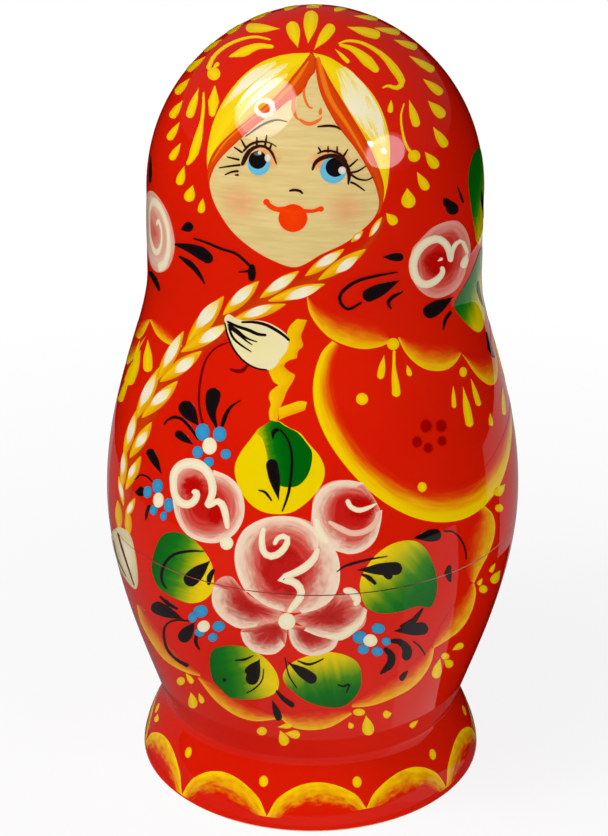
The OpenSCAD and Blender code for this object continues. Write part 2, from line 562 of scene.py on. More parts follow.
@dataclass(frozen=True)
class TurnedWood:
    """Linden with the fine lines that the lathe and the growth rings leave."""

    name: str
    pale: Colour = tone(234, 212, 158)
    deep: Colour = tone(212, 180, 118)
    line_scale: float = 1300.0
    line_stretch: tuple[float, float, float] = (0.05, 0.05, 1.0)
    pore_scale: float = 1500.0
    pore_stretch: tuple[float, float, float] = (0.12, 0.12, 1.0)
    cloud_scale: float = 60.0
    parts: tuple[float, float, float] = (1.3, 0.9, 0.6)
    lacquered: bool = False
    roughness: float = 0.62
    line_mm: float = 0.03
    contrast: float = 0.6

    def build(self) -> bpy.types.Material:
        """Makes the material."""
        bench = Bench(self.name)
        place = bench.object_place()
        lines = bench.noise(bench.stretched(place, self.line_stretch), self.line_scale, detail=3.0)
        pores = bench.noise(bench.stretched(place, self.pore_stretch), self.pore_scale, detail=2.0)
        clouds = bench.noise(place, self.cloud_scale, detail=2.0)
        line_part, pore_part, cloud_part = self.parts
        pattern = lines * line_part + pores * pore_part + clouds * cloud_part
        share = (pattern - sum(self.parts) / 2) * self.contrast + 0.5
        sockets = LACQUER.sockets(bench) if self.lacquered else {
            "Roughness": self.roughness,
            "Normal": bench.bump(lines, self.line_mm),
        }
        return bench.finish({"Base Color": bench.mix(share, self.deep, self.pale), **sockets})


@dataclass(frozen=True)
class BrushPaint:
    """A paint laid on with a brush, shaded across or along the stroke and streaked along it.

    The stops are places across the stroke, or along it, with their shades on a screen. A fade gives the
    places across the stroke between which the paint thins out to what is under it, and a run the same
    along it. A centred paint has the same colour at both edges of a stroke.
    """

    order: int
    stops: tuple[tuple[float, Shade], ...]
    streak: float = 0.25
    fade: Pair | None = None
    run: Pair | None = None
    strength: float = 1.0
    grain: tuple[float, float, float] = (2.5, 9.0, 40.0)
    lengthwise: bool = False
    over_red: bool = False
    centred: bool = False

    def build(self, name: str) -> bpy.types.Material:
        """Makes the paint's material.

        Args:
            name: The material's name.

        Returns:
            The material.
        """
        bench = Bench(name)
        mark = bench.node("ShaderNodeAttribute", {"attribute_name": "stroke"}, output="Vector")
        along, across, _ = bench.parts(mark)
        streaks = (bench.noise(bench.stretched(mark, self.grain), 1.0, detail=3.0) - 0.5) * self.streak
        shade = streaks + (along if self.lengthwise else across)
        stops = tuple((place, tone(*screen)) for place, screen in self.stops)
        colour = bench.node("ShaderNodeValToRGB", {"stops": stops}, {0: shade})
        sockets = LACQUER.sockets(bench)
        cover = (across + streaks).fall(*self.fade) if self.fade else None
        if self.run:
            tail = (along + streaks).fall(*self.run)
            cover = cover * tail if cover else tail
        if cover and self.over_red:
            colour = bench.mix(cover, RED.colour(bench), colour)
        elif cover:
            sockets["Alpha"] = cover * self.strength
        return bench.finish({"Base Color": colour, **sockets})


def even(order: int, edge: Shade, middle: Shade, **more: object) -> BrushPaint:
    """Makes a paint with one colour at both edges of a stroke and another in its middle."""
    return BrushPaint(order, ((0.0, edge), (0.5, middle), (1.0, edge)), centred=True, **more)


class Paint(Enum):
    """The paints on the dolls, each with the order in which it goes on."""

    YELLOW = even(2, (238, 190, 0), (246, 212, 4))
    CRESCENT = BrushPaint(
        1,
        (
            (0.0, (244, 206, 0)), (0.22, (242, 200, 0)), (0.45, (236, 155, 6)),
            (0.72, (228, 95, 8)), (1.0, (220, 45, 6)),
        ),
        streak=0.45, fade=(0.35, 1.0), grain=(10.0, 7.0, 40.0), over_red=True,
    )
    SCALLOP = BrushPaint(
        1,
        (
            (0.0, (240, 196, 10)), (0.14, (238, 180, 10)), (0.36, (232, 132, 12)),
            (0.7, (224, 76, 10)), (1.0, (216, 40, 6)),
        ),
        streak=0.4, fade=(0.25, 1.0), grain=(8.0, 7.0, 40.0), over_red=True,
    )
    BORDER = BrushPaint(
        0,
        ((0.0, (240, 190, 30)), (0.2, (234, 160, 24)), (0.5, (228, 110, 20)), (1.0, (218, 50, 10))),
        streak=0.45, fade=(0.25, 1.0), grain=(10.0, 6.0, 40.0), over_red=True,
    )
    FOOT_ARCH = BrushPaint(
        0,
        ((0.0, (246, 208, 0)), (0.16, (240, 188, 4)), (0.5, (228, 150, 12)), (1.0, (222, 100, 12))),
        streak=1.1, fade=(0.45, 1.0), grain=(9.0, 5.0, 40.0), over_red=True,
    )
    BLUSH = even(1, (236, 152, 114), (236, 146, 108), streak=0.1, fade=(0.3, 1.0), strength=0.55)
    EYE_TINT = even(1, (238, 158, 84), (236, 150, 80), fade=(0.6, 1.0), strength=0.8)
    HAIR = BrushPaint(
        1,
        ((0.0, (240, 200, 4)), (0.4, (244, 212, 14)), (0.65, (240, 180, 8)), (0.85, (234, 130, 8))),
        streak=0.5, grain=(1.2, 16.0, 40.0),
    )
    HAIR_SHADE = even(2, (206, 52, 2), (218, 72, 4), streak=0.8, grain=(1.5, 8.0, 40.0))
    HAIR_LINE = even(3, (232, 104, 12), (238, 122, 18), streak=0.3)
    HAIR_LIGHT = BrushPaint(
        3,
        (
            (0.0, (243, 214, 60)), (0.12, (244, 230, 170)), (0.6, (245, 236, 205)),
            (0.85, (244, 222, 110)), (1.0, (243, 208, 20)),
        ),
        streak=0.9, grain=(2.0, 14.0, 40.0), lengthwise=True,
    )
    CURL = even(2, (226, 100, 34), (232, 116, 46))
    LIP = even(2, (240, 54, 4), (244, 64, 6))
    BRAID = even(1, (196, 40, 6), (206, 58, 8), streak=0.6, grain=(12.0, 4.0, 40.0))
    STRAND_GOLD = BrushPaint(
        2,
        ((0.0, (226, 150, 8)), (0.45, (236, 176, 12)), (0.7, (240, 196, 10)), (1.0, (228, 140, 8))),
        streak=0.6, grain=(2.0, 7.0, 40.0),
    )
    STRAND = BrushPaint(
        3,
        (
            (0.0, (238, 200, 90)), (0.25, (242, 224, 160)), (0.5, (243, 234, 206)),
            (0.8, (240, 228, 196)), (1.0, (238, 200, 70)),
        ),
        streak=0.5, grain=(2.0, 7.0, 40.0), lengthwise=True,
    )
    TASSEL = even(3, (214, 200, 150), (242, 232, 198), streak=0.6)
    ROSE = BrushPaint(
        3,
        (
            (0.0, (188, 14, 10)), (0.4, (196, 28, 22)), (0.65, (208, 78, 68)),
            (0.85, (220, 132, 116)), (1.0, (228, 164, 144)),
        ),
        streak=0.6, grain=(2.0, 11.0, 40.0),
    )
    ROSE_PALE = BrushPaint(
        3,
        ((0.0, (206, 84, 74)), (0.4, (222, 148, 130)), (0.8, (233, 192, 170)), (1.0, (228, 166, 146))),
        streak=0.6, grain=(2.0, 11.0, 40.0),
    )
    ROSE_DEEP = even(
        4, (190, 10, 4), (186, 8, 4), fade=(0.7, 1.0), streak=0.4, grain=(8.0, 3.0, 40.0)
    )
    PETAL = BrushPaint(
        3,
        ((0.0, (172, 18, 16)), (0.45, (186, 40, 34)), (0.75, (208, 98, 84)), (1.0, (226, 156, 136))),
        streak=0.9, grain=(14.0, 2.0, 40.0),
    )
    PETAL_RIM = BrushPaint(
        4,
        ((0.0, (240, 218, 192)), (0.35, (235, 196, 170)), (0.7, (224, 150, 130)), (1.0, (212, 96, 84))),
        streak=0.6, fade=(0.15, 1.0), grain=(8.0, 6.0, 40.0),
    )
    PETAL_PINK = even(5, (230, 178, 152), (234, 194, 166), streak=0.5, grain=(3.0, 6.0, 40.0))
    CREAM = even(6, (236, 216, 178), (242, 232, 200), streak=0.5, grain=(3.0, 6.0, 40.0))
    BUD_CREAM = even(3, (234, 220, 172), (232, 222, 154), streak=0.5)
    LEAF = even(1, (236, 204, 0), (234, 206, 0), streak=0.3)
    LEAF_GREEN = BrushPaint(
        2,
        (
            (0.0, (0, 92, 10)), (0.3, (4, 108, 14)), (0.5, (60, 128, 10)),
            (0.68, (150, 166, 4)), (0.85, (214, 192, 0)), (1.0, (236, 204, 0)),
        ),
        streak=0.3, grain=(1.6, 8.0, 40.0), lengthwise=True,
    )
    BLACK = even(5, (26, 16, 16), (18, 12, 14), streak=0.1)
    BROWN = even(5, (64, 18, 8), (40, 12, 8), streak=0.1)
    VINE = even(4, (120, 6, 4), (104, 4, 4))
    STAMP = even(1, (160, 0, 0), (152, 0, 0), streak=0.1, fade=(0.76, 1.0), strength=0.9)
    RIBBON = BrushPaint(
        2, ((0.0, (240, 196, 6)), (0.5, (238, 184, 6)), (1.0, (230, 158, 6))),
        streak=0.9, grain=(2.5, 5.0, 40.0),
    )
    BLUE = even(6, (46, 138, 186), (60, 152, 200), streak=0.15)
    CREAM_DOT = even(7, (236, 224, 182), (243, 236, 206), streak=0.1)
    IRIS = even(4, (92, 178, 210), (112, 194, 222), streak=0.2)
    PUPIL = even(5, (14, 10, 12), (10, 8, 10), streak=0.1)
    PUPIL_SHEEN = even(6, (60, 58, 60), (112, 108, 108), fade=(0.75, 1.0), streak=0.1)
    GLINT = even(7, (206, 200, 186), (228, 224, 210), streak=0.1)
    FACE = TurnedWood("bare_face", tone(236, 214, 150), tone(206, 174, 102), lacquered=True)

    @property
    def order(self) -> int:
        """How many layers of paint lie under this one."""
        return getattr(self.value, "order", 0)

    @cached_property
    def material(self) -> bpy.types.Material:
        """The paint's material, made once."""
        name = f"paint_{self.name.lower()}"
        return self.value.build(name) if isinstance(self.value, BrushPaint) else self.value.build()


class Space(Enum):
    """How a painted mark's places are given."""

    PHOTO = "pixels across and down the photograph"
    TURNED = "degrees from the doll's front and millimetres above its foot"


@dataclass
class Stroke:
    """A painted mark, laid on as a grid that runs along and across the brush's way."""

    paint: Paint
    space: Space
    finest: float

    def grid(self, grain: float, least: int) -> tuple[int, int]:
        """Gives the number of faces along and across, for a wanted face size and the least number along."""
        raise NotImplementedError

    def lay(self, along: np.ndarray, across: np.ndarray) -> tuple[np.ndarray, np.ndarray]:
        """Places the grid.

        Args:
            along: Places along the grid, from 0 to 1.
            across: Places across the grid, from 0 to 1.

        Returns:
            Places in the mark's own space, and where each is along and across the brush's way.
        """
        raise NotImplementedError


@dataclass
class LineStroke(Stroke):
    """A brush line through points, with widths that follow it and round ends."""

    path: np.ndarray
    width: Callable[[np.ndarray], np.ndarray]
    measure_points: ClassVar[int] = 60
    fineness: ClassVar[Pair] = (1.3, 2.0)
    most_faces: ClassVar[tuple[int, int]] = (80, 6)
    even_share: ClassVar[float] = 0.3
    look_ahead: ClassVar[float] = 0.01
    least_half: ClassVar[float] = 0.02
    least_cap: ClassVar[float] = 0.004

    @cached_property
    def length(self) -> float:
        """The line's length."""
        rows = smooth(self.path, np.linspace(0, 1, self.measure_points))
        return float(np.hypot(*np.diff(rows, axis=0).T).sum())

    def grid(self, grain: float, least: int) -> tuple[int, int]:
        """Gives the number of faces along and across."""
        along, across = self.length / grain * self.fineness[0], self.finest / grain * self.fineness[1]
        along = np.clip(along, least, self.most_faces[0])
        return int(along), int(np.clip(across, least // 4 + 1, self.most_faces[1]))

    def lay(self, along: np.ndarray, across: np.ndarray) -> tuple[np.ndarray, np.ndarray]:
        """Places the grid along the line, with more of its rows near the ends.

        Args:
            along: Places along the grid, from 0 to 1.
            across: Places across the grid, from 0 to 1.

        Returns:
            Places in the line's own space, and where each is along and across the brush's way.
        """
        eased = self.even_share * along + (1 - self.even_share) / 2 * (1 - np.cos(np.pi * along))
        spots = smooth(self.path, eased)
        ways = smooth(self.path, eased + self.look_ahead) - smooth(self.path, eased - self.look_ahead)
        ways /= np.maximum(np.hypot(*ways.T), NEVER_ZERO)[:, None]
        half = np.maximum(self.width(eased) / 2, self.least_half)
        from_end = np.minimum(eased, 1 - eased) * self.length / half
        cap = np.sqrt(np.maximum(1 - np.clip(1 - from_end, 0, 1) ** 2, self.least_cap))
        side = np.stack([-ways[:, 1], ways[:, 0]], axis=1)
        spots = spots + side * ((2 * across - 1) * half * cap)[:, None]
        return spots, np.stack([eased, across], axis=1)


@dataclass
class BandStroke(Stroke):
    """A stroke of paint between two edges."""

    edge: np.ndarray
    inner: np.ndarray
    reach: float = 1.0
    fineness_across: ClassVar[float] = 1.5
    faces_along: ClassVar[int] = 120
    faces_across: ClassVar[tuple[int, int]] = (4, 12)

    def grid(self, grain: float, least: int) -> tuple[int, int]:
        """Gives the number of faces along and across."""
        length = np.hypot(*np.diff(self.edge, axis=0).T).sum()
        across = np.clip(self.finest / grain * self.fineness_across, *self.faces_across)
        return int(np.clip(length / grain, least, self.faces_along)), int(across)

    def lay(self, along: np.ndarray, across: np.ndarray) -> tuple[np.ndarray, np.ndarray]:
        """Places the grid between the edges."""
        outer, inner = smooth(self.edge, along), smooth(self.inner, along)
        spots = outer + (inner - outer) * across[:, None] * self.reach
        return spots, np.stack([along, across], axis=1)


@dataclass
class PatchStroke(Stroke):
    """A blob of paint inside a smooth closed outline, shaded from its middle out or between two points."""

    outline: np.ndarray
    centre: np.ndarray
    tones: np.ndarray | None = None
    fineness: ClassVar[float] = 1.3
    least_share: ClassVar[float] = 0.6
    most_faces: ClassVar[int] = 44

    def grid(self, grain: float, least: int) -> tuple[int, int]:
        """Gives the number of faces along and across."""
        size = np.ptp(self.outline, axis=0).max()
        faces = int(np.clip(size / grain * self.fineness, least * self.least_share, self.most_faces))
        return faces, faces

    def lay(self, along: np.ndarray, across: np.ndarray) -> tuple[np.ndarray, np.ndarray]:
        """Places the grid as a disc stretched to the outline.

        Args:
            along: Places along the grid, from 0 to 1.
            across: Places across the grid, from 0 to 1.

        Returns:
            Places in the blob's own space, and where each is along and across its shading.
        """
        a, b = 2 * along - 1, 2 * across - 1
        x, y = a * np.sqrt(1 - b**2 / 2), b * np.sqrt(1 - a**2 / 2)
        out, turn = np.hypot(x, y), np.arctan2(y, x)
        rim = smooth(self.outline, np.mod(turn / (2 * np.pi), 1.0), closed=True)
        spots = self.centre + out[:, None] * (rim - self.centre)
        if self.tones is not None:
            way = self.tones[1] - self.tones[0]
            side = np.array([-way[1], way[0]])
            return spots, (spots - self.tones[0]) @ np.stack([way, side], axis=1) / (way @ way)
        if getattr(self.paint.value, "centred", False):
            out = 0.5 + 0.5 * out
        return spots, np.stack([np.abs(turn) / np.pi, out], axis=1)


@dataclass
class Brush:
    """Collects the strokes of an ornament in one space."""

    space: Space = Space.PHOTO
    strokes: list[Stroke] = field(default_factory=list)
    drop_swell: ClassVar[float] = 0.68
    drop_power: ClassVar[float] = 1.25
    bent_shares: ClassVar[Path] = (0.15, 0.45, 0.85, 1.0, 0.9)
    lens_ends: ClassVar[Pair] = (0.02, 0.98)
    lens_power: ClassVar[float] = 0.8
    dot_points: ClassVar[int] = 8
    rim_least: ClassVar[float] = 0.05
    rim_power: ClassVar[float] = 0.5

    def line(self, paint: Paint, path: Path, *widths: float) -> None:
        """Draws a line through points, with its widths from the first point to the last."""
        places = np.linspace(0, 1, len(widths))
        self.strokes.append(LineStroke(
            paint, self.space, max(widths), pairs(path), lambda t: np.interp(t, places, widths)
        ))

    def lines(self, paint: Paint, lines: Lines) -> None:
        """Draws lines, each given by its path and its widths."""
        for path, widths in lines:
            self.line(paint, path, *widths)

    def _press(self, paint: Paint, rows: Rows, shape: Callable[[np.ndarray], np.ndarray]) -> None:
        """Presses strokes whose width follows a shape.

        Args:
            paint: The paint.
            rows: For each stroke its start, its end and its width.
            shape: The share of the width at each place along a stroke.
        """
        for row in rows:
            def width(t: np.ndarray, widest: float = row[4]) -> np.ndarray:
                """Gives the stroke's width along it."""
                return widest * shape(t)

            self.strokes.append(LineStroke(paint, self.space, row[4], pairs(row[:4]), width))

    def dabs(self, paint: Paint, *rows: Path) -> None:
        """Presses drops, each from its thin tail to its round head, with its width."""
        swell, power = self.drop_swell, self.drop_power
        self._press(paint, rows, lambda t: np.sin(np.pi / 2 * np.minimum(t / swell, 1)) ** power)

    def bent(self, paint: Paint, path: Path, widest: float) -> None:
        """Presses a drop along a bent path, from its thin tail to its round head."""
        self.line(paint, path, *(share * widest for share in self.bent_shares))

    def lenses(self, paint: Paint, *rows: Path) -> None:
        """Presses strokes that are pointed at both ends, each with its width."""
        self._press(paint, rows, lambda t: np.sin(np.pi * np.clip(t, *self.lens_ends)) ** self.lens_power)

    def dots(self, paint: Paint, *rows: Path) -> None:
        """Sets round or oval dots, each with its centre and its half width and half height."""
        turn = np.linspace(0, 2 * np.pi, self.dot_points, endpoint=False)
        for row in rows:
            centre, reach = np.array(row[:2], float), np.array([row[2], row[-1]])
            rim = centre + np.stack([np.cos(turn), np.sin(turn)], axis=1) * reach
            self.strokes.append(PatchStroke(paint, self.space, 2 * min(reach), rim, centre))

    def patch(self, paint: Paint, outline: Path, centre: Path | None = None,
              tones: Path | None = None) -> None:
        """Fills a smooth closed outline, shaded from its centre or between two points.

        Args:
            paint: The paint.
            outline: Points of the outline.
            centre: Where the shading starts, or None for the mean of the points.
            tones: The two points to shade between instead, or None.
        """
        rim = pairs(outline)
        middle = np.array(centre, float) if centre else rim.mean(axis=0)
        wide = np.ptp(rim, axis=0).min()
        between = pairs(tones) if tones else None
        self.strokes.append(PatchStroke(paint, self.space, wide, rim, middle, between))

    def band(self, paint: Paint, edge: Path, inner: Path, reach: float = 1.0) -> None:
        """Fills from an edge some way to an inner edge that runs the same way.

        Args:
            paint: The paint.
            edge: Points of the edge.
            inner: Points of the inner edge.
            reach: How far to the inner edge the paint goes, as a share.
        """
        outer, inside = pairs(edge), pairs(inner)
        middle = np.array([0.5])
        wide = np.hypot(*(smooth(outer, middle) - smooth(inside, middle))[0])
        self.strokes.append(BandStroke(paint, self.space, float(wide), outer, inside, reach))

    def rim(self, paint: Paint, edge: Path, wide: float) -> None:
        """Shades a curved edge on the left of its way.

        Args:
            paint: The paint.
            edge: Points of the edge.
            wide: Width of the shading in its middle.
        """
        outer = pairs(edge)
        shares = np.linspace(0, 1, 2 * len(outer))
        spots = smooth(outer, shares)
        ways = np.gradient(spots, axis=0)
        ways /= np.hypot(*ways.T)[:, None]
        swell = wide * np.maximum(np.sin(np.pi * shares), self.rim_least) ** self.rim_power
        inner = spots + np.stack([-ways[:, 1], ways[:, 0]], axis=1) * swell[:, None]
        self.strokes.append(BandStroke(paint, self.space, wide, spots, inner))


class Ornament:
    """A group of painted marks that belong together."""

    name: str = ""

    def strokes(self) -> list[Stroke]:
        """Gives the ornament's strokes in the order of painting."""
        raise NotImplementedError


@dataclass
class Hood(Ornament):
    """Yellow drops and curls round the face, on the scarf over the head."""

    name: str = "hood"
    ring: Rows = (
        (272, 11.5, 250, 19, 4.5), (244, 23.5, 227, 33, 5), (222, 39.5, 203, 51, 5),
        (206, 56.5, 187, 71, 6), (190, 78.5, 176, 94, 7), (183, 100.5, 171, 118, 7.5),
        (180, 122, 168.5, 140, 7), (181, 143, 171, 160, 7), (184.5, 166, 179, 185, 8),
        (193, 185, 188, 201.5, 10.5), (203, 198, 201, 213, 7), (300, 5.5, 284, 9, 4), (320, 6, 312, 6, 2),
        (347, 9, 334, 10, 4), (354, 16, 378, 19, 4.5), (374, 28, 400, 33, 6), (394, 40, 417, 48, 6.5),
        (409, 56, 434, 71, 7), (423, 79, 442, 94, 8), (428, 101, 444, 117, 10), (433, 127, 446, 147, 9),
        (425, 152, 437, 168, 10), (417, 172, 427, 190, 9), (407, 188, 409, 208, 14),
        (386, 213, 396, 224, 10),
    )
    fan: Rows = (
        (298, 48, 291, 22, 13), (308, 44, 312, 11, 14), (314, 50, 333, 25, 11), (280, 29, 246, 28, 9),
        (347, 27, 380, 36, 9), (335, 49, 349, 63, 4),
    )
    temple_drops: Rows = (
        (199, 88, 189, 118, 8), (391, 100, 390, 113, 5), (409, 100, 417, 127, 8), (213, 69, 219, 63, 4),
    )
    left_curl: Lines = (
        ((271, 40, 255, 37, 240, 40, 225, 47, 214, 57, 208, 70), (1.5, 2.5, 3, 3.5, 5)),
    )
    curl_ends: Rows = ((214, 74, 6.5, 6.5), (414, 156, 6, 6))
    curls: Lines = (
        (
            (338, 44, 348, 41, 364, 44, 383, 56, 397, 73, 402, 83, 397, 88, 388, 86, 382, 88),
            (1.5, 2.5, 3, 4, 5.5, 8, 7, 4, 1.5),
        ),
        ((274, 47, 258, 46.5, 244, 52, 229, 57), (3, 6, 10, 1)),
        ((339, 45, 352, 49, 366, 60, 378, 72), (2, 6, 11, 6)),
        ((215, 86, 214, 100, 212, 117), (1, 11, 5)),
        ((204, 92, 203, 115, 198, 140, 195, 150, 192, 158, 187, 165), (1.5, 3, 3.5, 8, 9, 3)),
        ((404, 103, 401, 115, 402, 130, 406, 145, 412, 154), (1.2, 1.6, 2, 2.5, 3)),
    )

    def strokes(self) -> list[Stroke]:
        """Gives the drops and curls."""
        brush = Brush()
        brush.dabs(Paint.YELLOW, *self.ring, *self.fan, *self.temple_drops)
        brush.lines(Paint.YELLOW, self.left_curl)
        brush.dots(Paint.YELLOW, *self.curl_ends)
        brush.lines(Paint.YELLOW, self.curls)
        return brush.strokes


@dataclass
class Hair(Ornament):
    """Fair hair parted over the forehead, with orange shade along the face and pale streaks."""

    name: str = "hair"
    left_outer: Path = (
        309, 53, 290, 54, 272, 58, 257, 65, 240, 79, 226, 97, 215, 118, 209, 140, 207, 158, 208, 172
    )
    left_shade: Path = (
        310, 54, 304, 62, 299, 69, 293, 76, 284, 88, 266, 105, 246, 121, 227, 137, 214, 152, 208, 166,
        208, 176,
    )
    left_inner: Path = (
        315, 57, 315.5, 71, 309, 79, 305.5, 88, 298, 96, 290, 100, 276, 111, 259, 123, 245, 135, 232, 147,
        222, 157, 213, 170, 209, 183,
    )
    right_outer: Path = (
        313, 53, 328, 57, 343, 66, 358, 78, 371, 92, 381, 109, 388, 130, 390, 150, 389, 172, 386, 192,
        380, 212,
    )
    right_shade: Path = (
        312, 54, 322, 65, 330, 80, 342, 100, 354, 120, 362, 133, 370, 148, 376, 162, 382, 178, 384, 190,
        383, 202, 380, 213,
    )
    right_inner: Path = (
        315, 57, 316, 72, 317.5, 82, 320, 92, 325, 104, 332, 117, 338, 127, 346, 137, 356, 150, 368, 170,
        374, 182, 378, 195, 379, 204, 377, 214,
    )
    left_streaks: tuple[Path, ...] = (
        (277, 62, 257, 75, 240, 91, 226, 106), (288, 64, 264, 80, 246, 96, 232, 114),
        (288, 74, 268, 88, 250, 104, 238, 120), (270, 64, 252, 76, 236, 92, 222, 110),
    )
    right_streaks: tuple[Path, ...] = (
        (341, 84, 348, 100, 356, 114, 366, 134), (346, 74, 356, 90, 364, 108, 372, 130),
        (351, 80, 363, 98, 371, 116, 378, 140), (366, 96, 374, 114, 380, 132, 386, 156),
    )
    left_widths: Path = (3, 8, 7, 4, 1)
    right_widths: Path = (3, 9, 8, 5, 1)
    right_light: tuple[Path, Path] = (
        (345, 67, 352, 72, 362, 83, 372, 97, 380, 112, 385, 128, 387, 142),
        (336, 70, 340, 82, 345, 96, 352, 109, 360, 124, 370, 138, 380, 150),
    )
    shade_lines: Lines = (
        (
            (309, 61, 303, 70, 297, 79, 289, 89, 276, 101, 258, 115, 240, 129, 224, 144, 212, 162),
            (1.5, 4, 4, 3, 2, 2, 2, 1),
        ),
        (
            (318, 57, 320, 66, 323.5, 80, 328, 94, 334, 106, 343, 119, 352, 133, 362, 150, 373, 168),
            (3, 5, 5, 4.5, 4, 3, 2, 1),
        ),
    )
    curls: Lines = (
        ((295, 96, 293.5, 103, 293.5, 110, 296, 117, 299, 120), (2.5, 4, 4, 3, 1.5)),
        ((299, 119, 304, 122.5, 310, 124, 316, 122, 320, 119.5, 322, 117), (2, 3.5, 4, 3.5, 3, 1)),
        ((304, 89, 304, 95, 306, 102, 309, 107, 313, 108.5), (2.5, 2.5, 2.5, 1.5)),
    )
    curl_drop: Path = (321, 107, 320, 115, 3.5)

    def strokes(self) -> list[Stroke]:
        """Gives the locks, their shade and their streaks."""
        brush = Brush()
        brush.band(Paint.HAIR, self.left_outer, self.left_inner)
        brush.band(Paint.HAIR, self.right_outer, self.right_inner)
        brush.band(Paint.HAIR_SHADE, self.left_shade, self.left_inner)
        brush.band(Paint.HAIR_SHADE, self.right_shade, self.right_inner)
        brush.lines(Paint.HAIR_LINE, self.shade_lines)
        brush.band(Paint.HAIR_LIGHT, *self.right_light)
        for streak in self.left_streaks:
            brush.line(Paint.HAIR_LIGHT, streak, *self.left_widths)
        for streak in self.right_streaks:
            brush.line(Paint.HAIR_LIGHT, streak, *self.right_widths)
        brush.lines(Paint.CURL, self.curls)
        brush.dabs(Paint.CURL, self.curl_drop)
        return brush.strokes


@dataclass
class Face(Ornament):
    """A doll's round face on bare wood: big eyes with lashes, a short nose, and a small red mouth."""

    name: str = "face"
    edge: Path = (
        314, 66, 330, 95, 355, 140, 376, 172, 380, 198, 375, 216, 362, 230, 345, 243, 322, 254, 296, 267,
        272, 260, 250, 247, 232, 231, 219, 212, 212, 196, 210, 180, 222, 155, 245, 130, 280, 100,
    )
    cheeks: tuple[Path, ...] = (
        (209, 196, 222, 180, 240, 176, 256, 184, 268, 200, 264, 218, 250, 229, 236, 228, 222, 218),
        (318, 208, 326, 190, 344, 184, 362, 188, 376, 204, 370, 220, 356, 233, 338, 234, 324, 224),
    )
    lashes: Rows = (
        (241, 139, 246, 148), (234, 147, 243, 153), (227, 157, 240, 160), (235, 175, 239, 175),
        (257, 137, 257, 147), (267, 135, 265, 147), (272, 143, 270, 149), (318, 147, 321, 152),
        (328, 146, 328, 153), (337, 146, 337, 154), (348, 149, 343, 157), (358, 159, 349, 167),
    )
    long_lashes: Rows = (
        (219, 168, 232, 166, 241, 165), (225, 175, 232, 172, 239, 171), (366, 166, 358, 171, 350, 173),
        (373, 177, 367, 180, 358, 179, 350, 174), (365, 191, 355, 184, 350, 182),
    )
    lash_widths: Path = (1.2, 2, 2.4)
    middle: Path = (297, 180)
    eye_tints: Rows = ((264, 158, 20, 15), (330, 162, 24, 16))
    irises: Rows = ((259, 164, 11, 11.5), (333, 170.5, 13, 13))
    pupils: Rows = ((258, 160, 9, 9), (335, 167.5, 9.5, 9.5))
    pupil_sheen: Path = (258, 153.8, 5.5, 2.8)
    glints: Rows = ((268, 158, 3, 4), (260, 153, 1.8, 1.8), (342, 170.5, 3.8, 3.8))
    lids: Lines = (
        ((242, 166, 247, 155, 252, 149, 262, 146, 270, 150, 274, 157, 277, 165), (3, 5, 4, 3, 3, 2.5, 1)),
        (
            (312, 171, 316, 162, 325, 157, 335, 156, 343, 161, 348, 170, 349, 176, 348, 185),
            (2, 4, 4.5, 4.5, 5, 5, 4, 1.5),
        ),
        ((243, 152, 250, 145, 258, 142, 266, 142, 272, 144, 277, 147), (2, 2.5, 2.5, 2, 1.5, 1)),
        ((317, 154, 325, 151, 335, 152, 342, 156, 347, 163), (1.5, 2.5, 2.5, 2.5, 2)),
    )
    brows: Lines = (
        ((245, 137, 256, 129, 266, 123, 277, 120, 288, 122), (1, 1.7, 1.7, 1.5, 0.8)),
        ((317, 127, 328, 126, 336, 127, 341, 130), (1.2, 2.5, 2.5, 1.4)),
    )
    nose: Lines = (((289, 191, 294, 190, 300, 191, 303, 194), (2, 2.8, 2.8, 2)),)
    lips: Rows = ((293, 218, 14.5, 14), (266.5, 202, 3.2, 3.2), (321, 209, 2.8, 2.8))
    smile: Lines = (
        ((266, 201, 270, 206, 276, 209, 284, 210, 293, 212), (5, 5, 5, 8, 12)),
        ((322, 208, 313, 211, 304, 211, 293, 213), (4, 3.5, 4, 10)),
    )

    def strokes(self) -> list[Stroke]:
        """Gives the face's wood and all that is painted on it."""
        brush = Brush()
        brush.patch(Paint.FACE, self.edge, self.middle)
        for cheek in self.cheeks:
            brush.patch(Paint.BLUSH, cheek)
        brush.dots(Paint.EYE_TINT, *self.eye_tints)
        brush.dots(Paint.IRIS, *self.irises)
        brush.dots(Paint.PUPIL, *self.pupils)
        brush.dots(Paint.PUPIL_SHEEN, self.pupil_sheen)
        brush.dots(Paint.GLINT, *self.glints)
        brush.lines(Paint.BROWN, self.lids)
        for lash in self.lashes + self.long_lashes:
            brush.line(Paint.BROWN, lash, *self.lash_widths)
        brush.lines(Paint.BROWN, self.brows)
        brush.lines(Paint.BROWN, self.nose)
        brush.dots(Paint.LIP, *self.lips)
        brush.lines(Paint.LIP, self.smile)
        return brush.strokes


